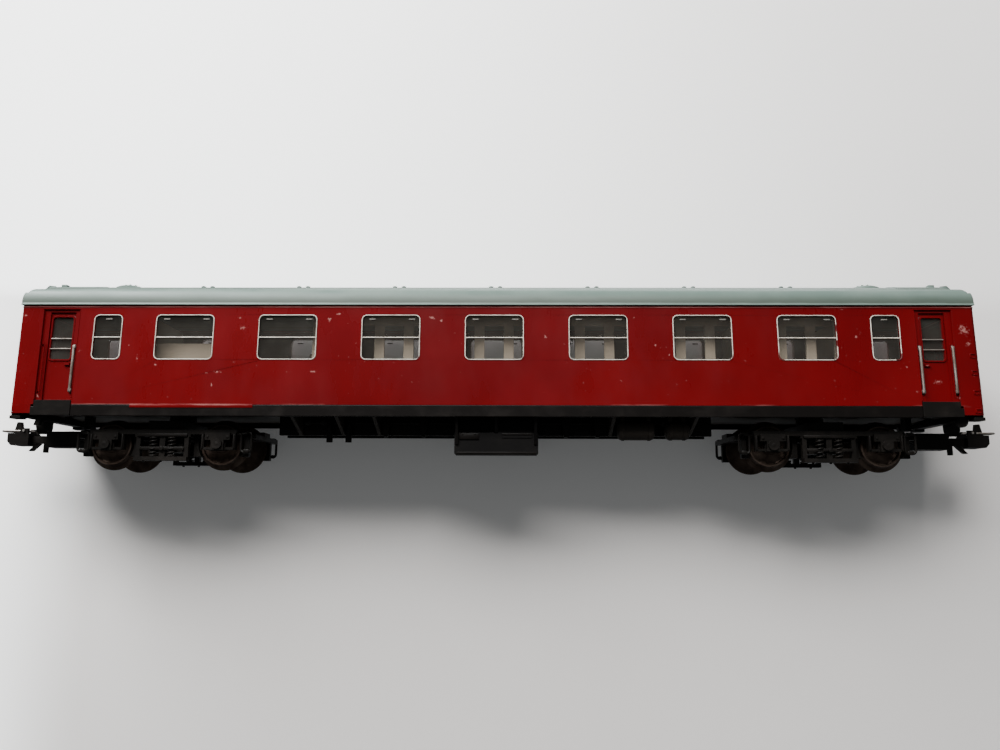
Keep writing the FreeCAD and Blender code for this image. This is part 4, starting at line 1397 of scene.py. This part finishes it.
@dataclass
class Underframe:
    """Chassis floor, sole bars, beams, ribs, battery box, tanks, clips and pipes.

    A tank is (start, length, radius), and its domed end is (share of the radius, distance in).
    """

    floor: float = 14.4
    tank_z: float = 10.2
    tank_y: float = -9.2
    tanks: Tuple[Triple, ...] = ((31.0, 9.4, 2.4), (43.0, 6.2, 2.3))
    tank_end: Outline = ((0.6, 0.1), (0.88, 0.4), (0.98, 0.9))
    band_inset: float = 1.4
    band: Outline = ((-0.2, -0.3), (0.1, -0.3), (0.1, 0.3), (-0.2, 0.3))
    pipe_y: float = 5.0
    pipe_z: float = 12.5
    pipe_bends: Outline = ((49, 12.5), (51, 12.8), (53, 13.6))
    pipe_joints: Tuple[float, ...] = (-44.0, -20.0, 22.0, 46.0)
    joint: Outline = ((0.2, -0.6), (0.5, -0.6), (0.5, 0.6), (0.2, 0.6))
    case: Pair = (-9.9, 10.95)
    rivet: Outline = ((0.22, -12.85), (0.22, -13.0), (0.05, -13.06))
    rivet_z: float = 8.97
    screw_x: Triple = (-47.4, -43.6, 42.9)
    screw_y: float = 9.2
    screw_z: float = 12.4
    screw_head: Outline = ((0.9, 0.7), (0.95, 0.2), (0.7, -0.15), (0.35, -0.3), (0.05, -0.32))
    kept: Tuple[Kept, ...] = (
        # chassis_floor and cross_ribs take the lighter underside black, which is painted light
        ("chassis_floor", "dusty", 0.1), ("sole_bar_near", "sole", 0.12), ("sole_bar_far", "sole", 0.12),
        ("centre_beams", "black", 0.12), ("cross_ribs", "dusty", 0.1), ("battery_box", "case", 0.15),
        ("underframe_clips", "black", 0.12), ("bogie_pivot_screws", "steel", 0.08),
    )

    def reservoirs(self) -> MeshBuild:
        """Turned tanks with domed ends and strap bands, and a hanger at each band.

        Returns:
            Its surfaces.
        """
        build = MeshBuild()
        y, z = self.tank_y, self.tank_z
        for start, length, radius in self.tanks:
            domed = [(0.05, 0)] + [(radius * share, inset) for share, inset in self.tank_end]
            build.lathe(domed + [(r, length - h) for r, h in domed[::-1]], (start, y, z), Axis.X)
            ring = [(radius + out, along) for out, along in self.band]
            for x in (start + self.band_inset, start + length - self.band_inset):
                build.lathe(ring, (x, y, z), Axis.X)
                build.box((x - 0.5, y - 0.5, z), (x + 0.5, y + 0.5, self.floor), 0.1)
        return build

    def pipes(self) -> MeshBuild:
        """The brake pipe along both centre beams, with its elbows and joints.

        Returns:
            Its surfaces.
        """
        build = MeshBuild()
        line = [(-x, z) for x, z in self.pipe_bends[::-1]] + [(0, self.pipe_z)] + list(self.pipe_bends)
        for side in Side:
            y = side.value * self.pipe_y
            build.tube([(x, y, z) for x, z in line], 0.3, 10, (0, 1, 0))
            for x in self.pipe_joints:
                build.lathe(self.joint, (x, y, self.pipe_z), Axis.X, 12)
        return build

    def lips(self) -> MeshBuild:
        """Proud lips, hatch fronts and rivets of the equipment case, on the near side.

        Returns:
            Its surfaces.
        """
        build = MeshBuild()
        low, high = self.case
        build.box((low + 0.5, -12.72, 4.1), (high - 0.5, -12.55, 4.6), 0.08)
        build.box((low + 1.2, -12.92, 7.7), (low + 6.1, -12.75, 9.2), 0.1)
        build.box((high - 9.0, -12.92, 8.75), (high - 1.5, -12.75, 9.2), 0.1)
        for x in (low + 2.0, low + 5.2, high - 8.0, high - 2.6):
            build.lathe(self.rivet, (x, 0, self.rivet_z), Axis.Y, 10)
        return build

    def fasteners(self) -> MeshBuild:
        """Round-headed screws between the ribs, along Y, under the sole bars, and their lugs.

        Returns:
            Its surfaces.
        """
        build = MeshBuild()
        for side in Side:
            head = [(r, -side.value * h) for r, h in self.screw_head]
            for x in self.screw_x:
                build.lathe(head, (x, side.value * self.screw_y, self.screw_z), Axis.Y, 20)
                build.box((x - 0.55, side.value * 8.2, 11.9), (x + 0.55, side.value * 8.8, self.floor), 0.1)
        return build

    def build(self) -> None:
        """Dresses and details the underframe."""
        keep_nodes(self.kept)
        # the tanks take the lighter underside black, which is painted light
        make_piece("strapped_air_tanks", self.reservoirs(), ["dusty"], COACH, "chassis_black", ["air_tanks"])
        for name, build, finish in (("brake_pipes", self.pipes(), "black"),
                                    ("equipment_case_lips", self.lips(), "sole"),
                                    ("floor_screws", self.fasteners(), "sole")):
            make_piece(name, build, [finish], COACH, "chassis_black")


@dataclass
class Cabin:
    """Floor, partition, walls, benches and ballast inside the shell."""

    kept: Tuple[Kept, ...] = (
        ("cabin_floor", "beige", 0.0), ("corridor_partition", "beige", 0.08),
        ("compartment_walls", "beige", 0.0), ("seat_benches", "seat", 0.3), ("ballast_weight", "steel", 0.0),
    )

    def build(self) -> None:
        """Dresses the cabin."""
        keep_nodes(self.kept)


@dataclass
class Bogie:
    """One four-wheeled bogie with its wheelsets and coupling, drawn with the coupler towards +X.

    Profiles are (radius, distance along the axis). The tyre's distances start at the wheel's back,
    and the rim's at its face.
    """

    end: End
    centre: float = 83.0
    half_wheelbase: float = 14.0
    flange: float = 6.4
    face: float = 9.7
    back: float = 7.0
    bore: float = 0.75
    tyre: Outline = ((3.6, 0), (3.9, 0.15), (5.9, 0), (6.28, 0.06), (6.4, 0.3), (6.3, 0.55), (6.0, 0.72),
                     (5.55, 0.86), (5.35, 1.05))
    rim: Outline = ((5.2, -0.22), (5.08, 0), (4.7, 0), (4.58, -0.12), (4.5, -0.55), (4.1, -0.72),
                    (2.3, -0.62), (2.1, -0.5), (1.9, -0.18), (1.2, -0.05))
    wheel_paints: Tuple[int, ...] = (2,) * 2 + (0,) * 8 + (1,) * 3 + (2,) * 8
    spring_place: Pair = (2.3, 12.0)
    spring_turns: float = 5.6
    spring_rise: Outline = ((0, 3.42), (0.1, 3.55), (0.9, 7.85), (1, 7.98))
    spring_radius: float = 0.85
    spring_wire: float = 0.24
    post: Outline = ((0.45, 3.2), (0.45, 8.2))
    cover: Outline = ((1.3, 12.3), (1.3, 13.2), (1.1, 13.45), (0.95, 13.4), (0.85, 13.62), (0.4, 13.74),
                      (0.05, 13.75))
    bolt: Outline = ((0.34, 13.0), (0.34, 13.3), (0.05, 13.36))
    bolt_place: Pair = (2.5, 8.2)
    guard_x: float = 3.95
    hanger_place: Triple = (20.6, 11.0, 7.0)
    hanger_loop: Triple = (2.6, 4.9, 0.8)
    wire: float = 0.34
    plank_nut: Outline = ((0.34, 2.3), (0.34, 1.98), (0.2, 1.86), (0.05, 1.86))
    plank_nut_x: Triple = (-4.3, 0.0, 4.3)
    straps: Tuple[Triple, ...] = ((5.6, 4.9, 5.7), (6.3, 8.2, 9.0))
    boss: Outline = ((0.55, 12.4), (0.55, 13.1), (0.05, 13.2))
    boss_z: float = 5.3
    loop_outline: Outline = ((41.0, 1.45), (44.0, 1.45), (46.9, 1.45), (47.35, 1.3), (47.55, 0.95))
    loop_z: float = 10.55
    kept: Tuple[Kept, ...] = (
        ("frame", "black", 0.15), ("side_frames", "black", 0.12), ("brake_blocks", "black", 0.12),
        ("coupler_pivot_pin", "steel", 0.0), ("coupler_head", "black", 0.15),
        ("outer_axle", "steel", 0.0), ("inner_axle", "steel", 0.0),
    )

    def wheels(self, along: float) -> MeshBuild:
        """Two turned wheels: brown tyre and flange, bright tread edge, dished plastic disc.

        Args:
            along: X of the axle.

        Returns:
            Its surfaces.
        """
        build = MeshBuild()
        back, face = self.back, self.face
        profile = [(self.bore, back)] + [(r, back + h) for r, h in self.tyre]
        profile += [(r, face + h) for r, h in self.rim] + [(self.bore, face - 0.05)]
        for side in (-1, 1):
            shape = [(radius, side * height) for radius, height in profile]
            build.lathe(shape, (along, 0, self.flange), Axis.Y, 72, self.wheel_paints, closed=True)
        return build

    def springs(self) -> MeshBuild:
        """Coil springs on the spring planks: a helix round a post, with flat end turns.

        Returns:
            Its surfaces.
        """
        build = MeshBuild()
        share = np.linspace(0, 1, 130)
        turn = share * self.spring_turns * 2 * np.pi
        rise = np.interp(share, *np.transpose(self.spring_rise))
        reach, apart = self.spring_place
        for x in (-reach, reach):
            for y in (-apart, apart):
                coil = [x + self.spring_radius * np.cos(turn), y + self.spring_radius * np.sin(turn), rise]
                build.tube(np.stack(coil, -1), self.spring_wire, 8)
                build.lathe(self.post, (x, y, 0), Axis.Z, 16)
        return build

    def axleboxes(self, out: int) -> MeshBuild:
        """Covers, bolts and guards of both axleboxes of a side, by the sign of its Y.

        Args:
            out: Sign of Y.

        Returns:
            Its surfaces.
        """
        build = MeshBuild()
        bolt_x, bolt_z = self.bolt_place
        for axle in (-self.half_wheelbase, self.half_wheelbase):
            cover = [(radius, out * depth) for radius, depth in self.cover]
            build.lathe(cover, (axle, 0, self.flange), Axis.Y, 28)
            for x in (-bolt_x, bolt_x):
                head = [(radius, out * depth) for radius, depth in self.bolt]
                build.lathe(head, (axle + x, 0, bolt_z), Axis.Y, 6)
            for x in (axle - self.guard_x, axle + self.guard_x):
                build.box((x - 0.2, out * 12.2, 5.2), (x + 0.2, out * 12.6, 8.9), 0.1)
        return build

    def hanger(self, end: int, out: int) -> MeshBuild:
        """A brake hanger's wire loop, its arm and its foot, by the signs of X and Y.

        Args:
            end: Sign of X.
            out: Sign of Y.

        Returns:
            Its surfaces.
        """
        x, y, z = end * self.hanger_place[0], out * self.hanger_place[1], self.hanger_place[2]
        loop = rounded_outline(*self.hanger_loop) + [x, z]
        build = MeshBuild().hoop(upright_path(loop, np.full(len(loop), y)), self.wire, 8)
        build.tube([(x - end * 2.2, y, 8.9), (x, y, 9.2), (x, out * 9.9, 9.0)], self.wire, 8, (0, 0.2, 1))
        return build.box((x - 0.9, y - 0.5, 4.2), (x + 0.7, y + 0.5, 5.2), 0.2)

    def details(self) -> MeshBuild:
        """Axlebox covers, brake hangers, spring planks' nuts and straps, and a boss on each side.

        Returns:
            Its surfaces.
        """
        build = MeshBuild()
        for side in Side:
            out = side.value
            build.join(self.axleboxes(out))
            for end in (-1, 1):
                build.join(self.hanger(end, out))
            for x in self.plank_nut_x:
                build.lathe(self.plank_nut, (x, out * 12.6, 0), Axis.Z, 10)
            for half, low, high in self.straps:
                build.box((-half, out * 12.3, low), (half, out * 12.75, high), 0.15)
            boss = [(radius, out * depth) for radius, depth in self.boss]
            build.lathe(boss, (0, 0, self.boss_z), Axis.Y, 16)
        return build

    def loop(self) -> MeshBuild:
        """The coupler's lifting loop: one bent wire whose ends turn round the hinge pin.

        Returns:
            Its surfaces.
        """
        half = np.array(self.loop_outline)
        outline = np.concatenate([half * [1, -1], [(half[-1, 0], 0)], half[::-1]])
        path = np.column_stack([outline, np.full(len(outline), self.loop_z)])
        build = MeshBuild().tube(path, 0.25, 8)
        return build.lathe([(0.3, -3.1), (0.3, 3.1)], (40.9, 0, self.loop_z), Axis.Y, 16)

    def build(self) -> None:
        """Dresses and details the bogie, with half a turn at the left end."""
        word = self.end.name.lower()
        body, prefix, sign = word + "_bogie", word + "_bogie_", self.end.value
        keep_nodes(self.kept, prefix)
        pieces = [(prefix + axle + "_turned_wheels", self.wheels(along), ["wheel", "tread", "disc"],
                   prefix + axle + "_wheelset", "wheel_metal", [prefix + axle + "_wheels"])
                  for axle, along in (("outer", self.half_wheelbase), ("inner", -self.half_wheelbase))]
        pieces += [
            (prefix + "coil_springs", self.springs(), ["black"], body, "black_plastic",
             [prefix + "springs"], 60),
            (prefix + "axlebox_covers_and_brake_gear", self.details(), ["black"], body, "black_plastic"),
            (word + "_coupler_wire_loop", self.loop(), ["steel"], word + "_coupler_loop", "coupler_black",
             [prefix + "coupler_loop"], 60),
        ]
        for name, build, *rest in pieces:
            make_piece(name, build.copied((sign, sign, 1), (sign * self.centre, 0, 0)), *rest)


def main() -> None:
    """Builds the coach and its studio."""
    logging.basicConfig(level=logging.INFO, format="%(message)s")
    PAINT.mix_all()
    CoachBody().build()
    Underframe().build()
    Cabin().build()
    for end in End:
        Bogie(end).build()
    Studio().build()


if __name__ == "__main__":
    main()
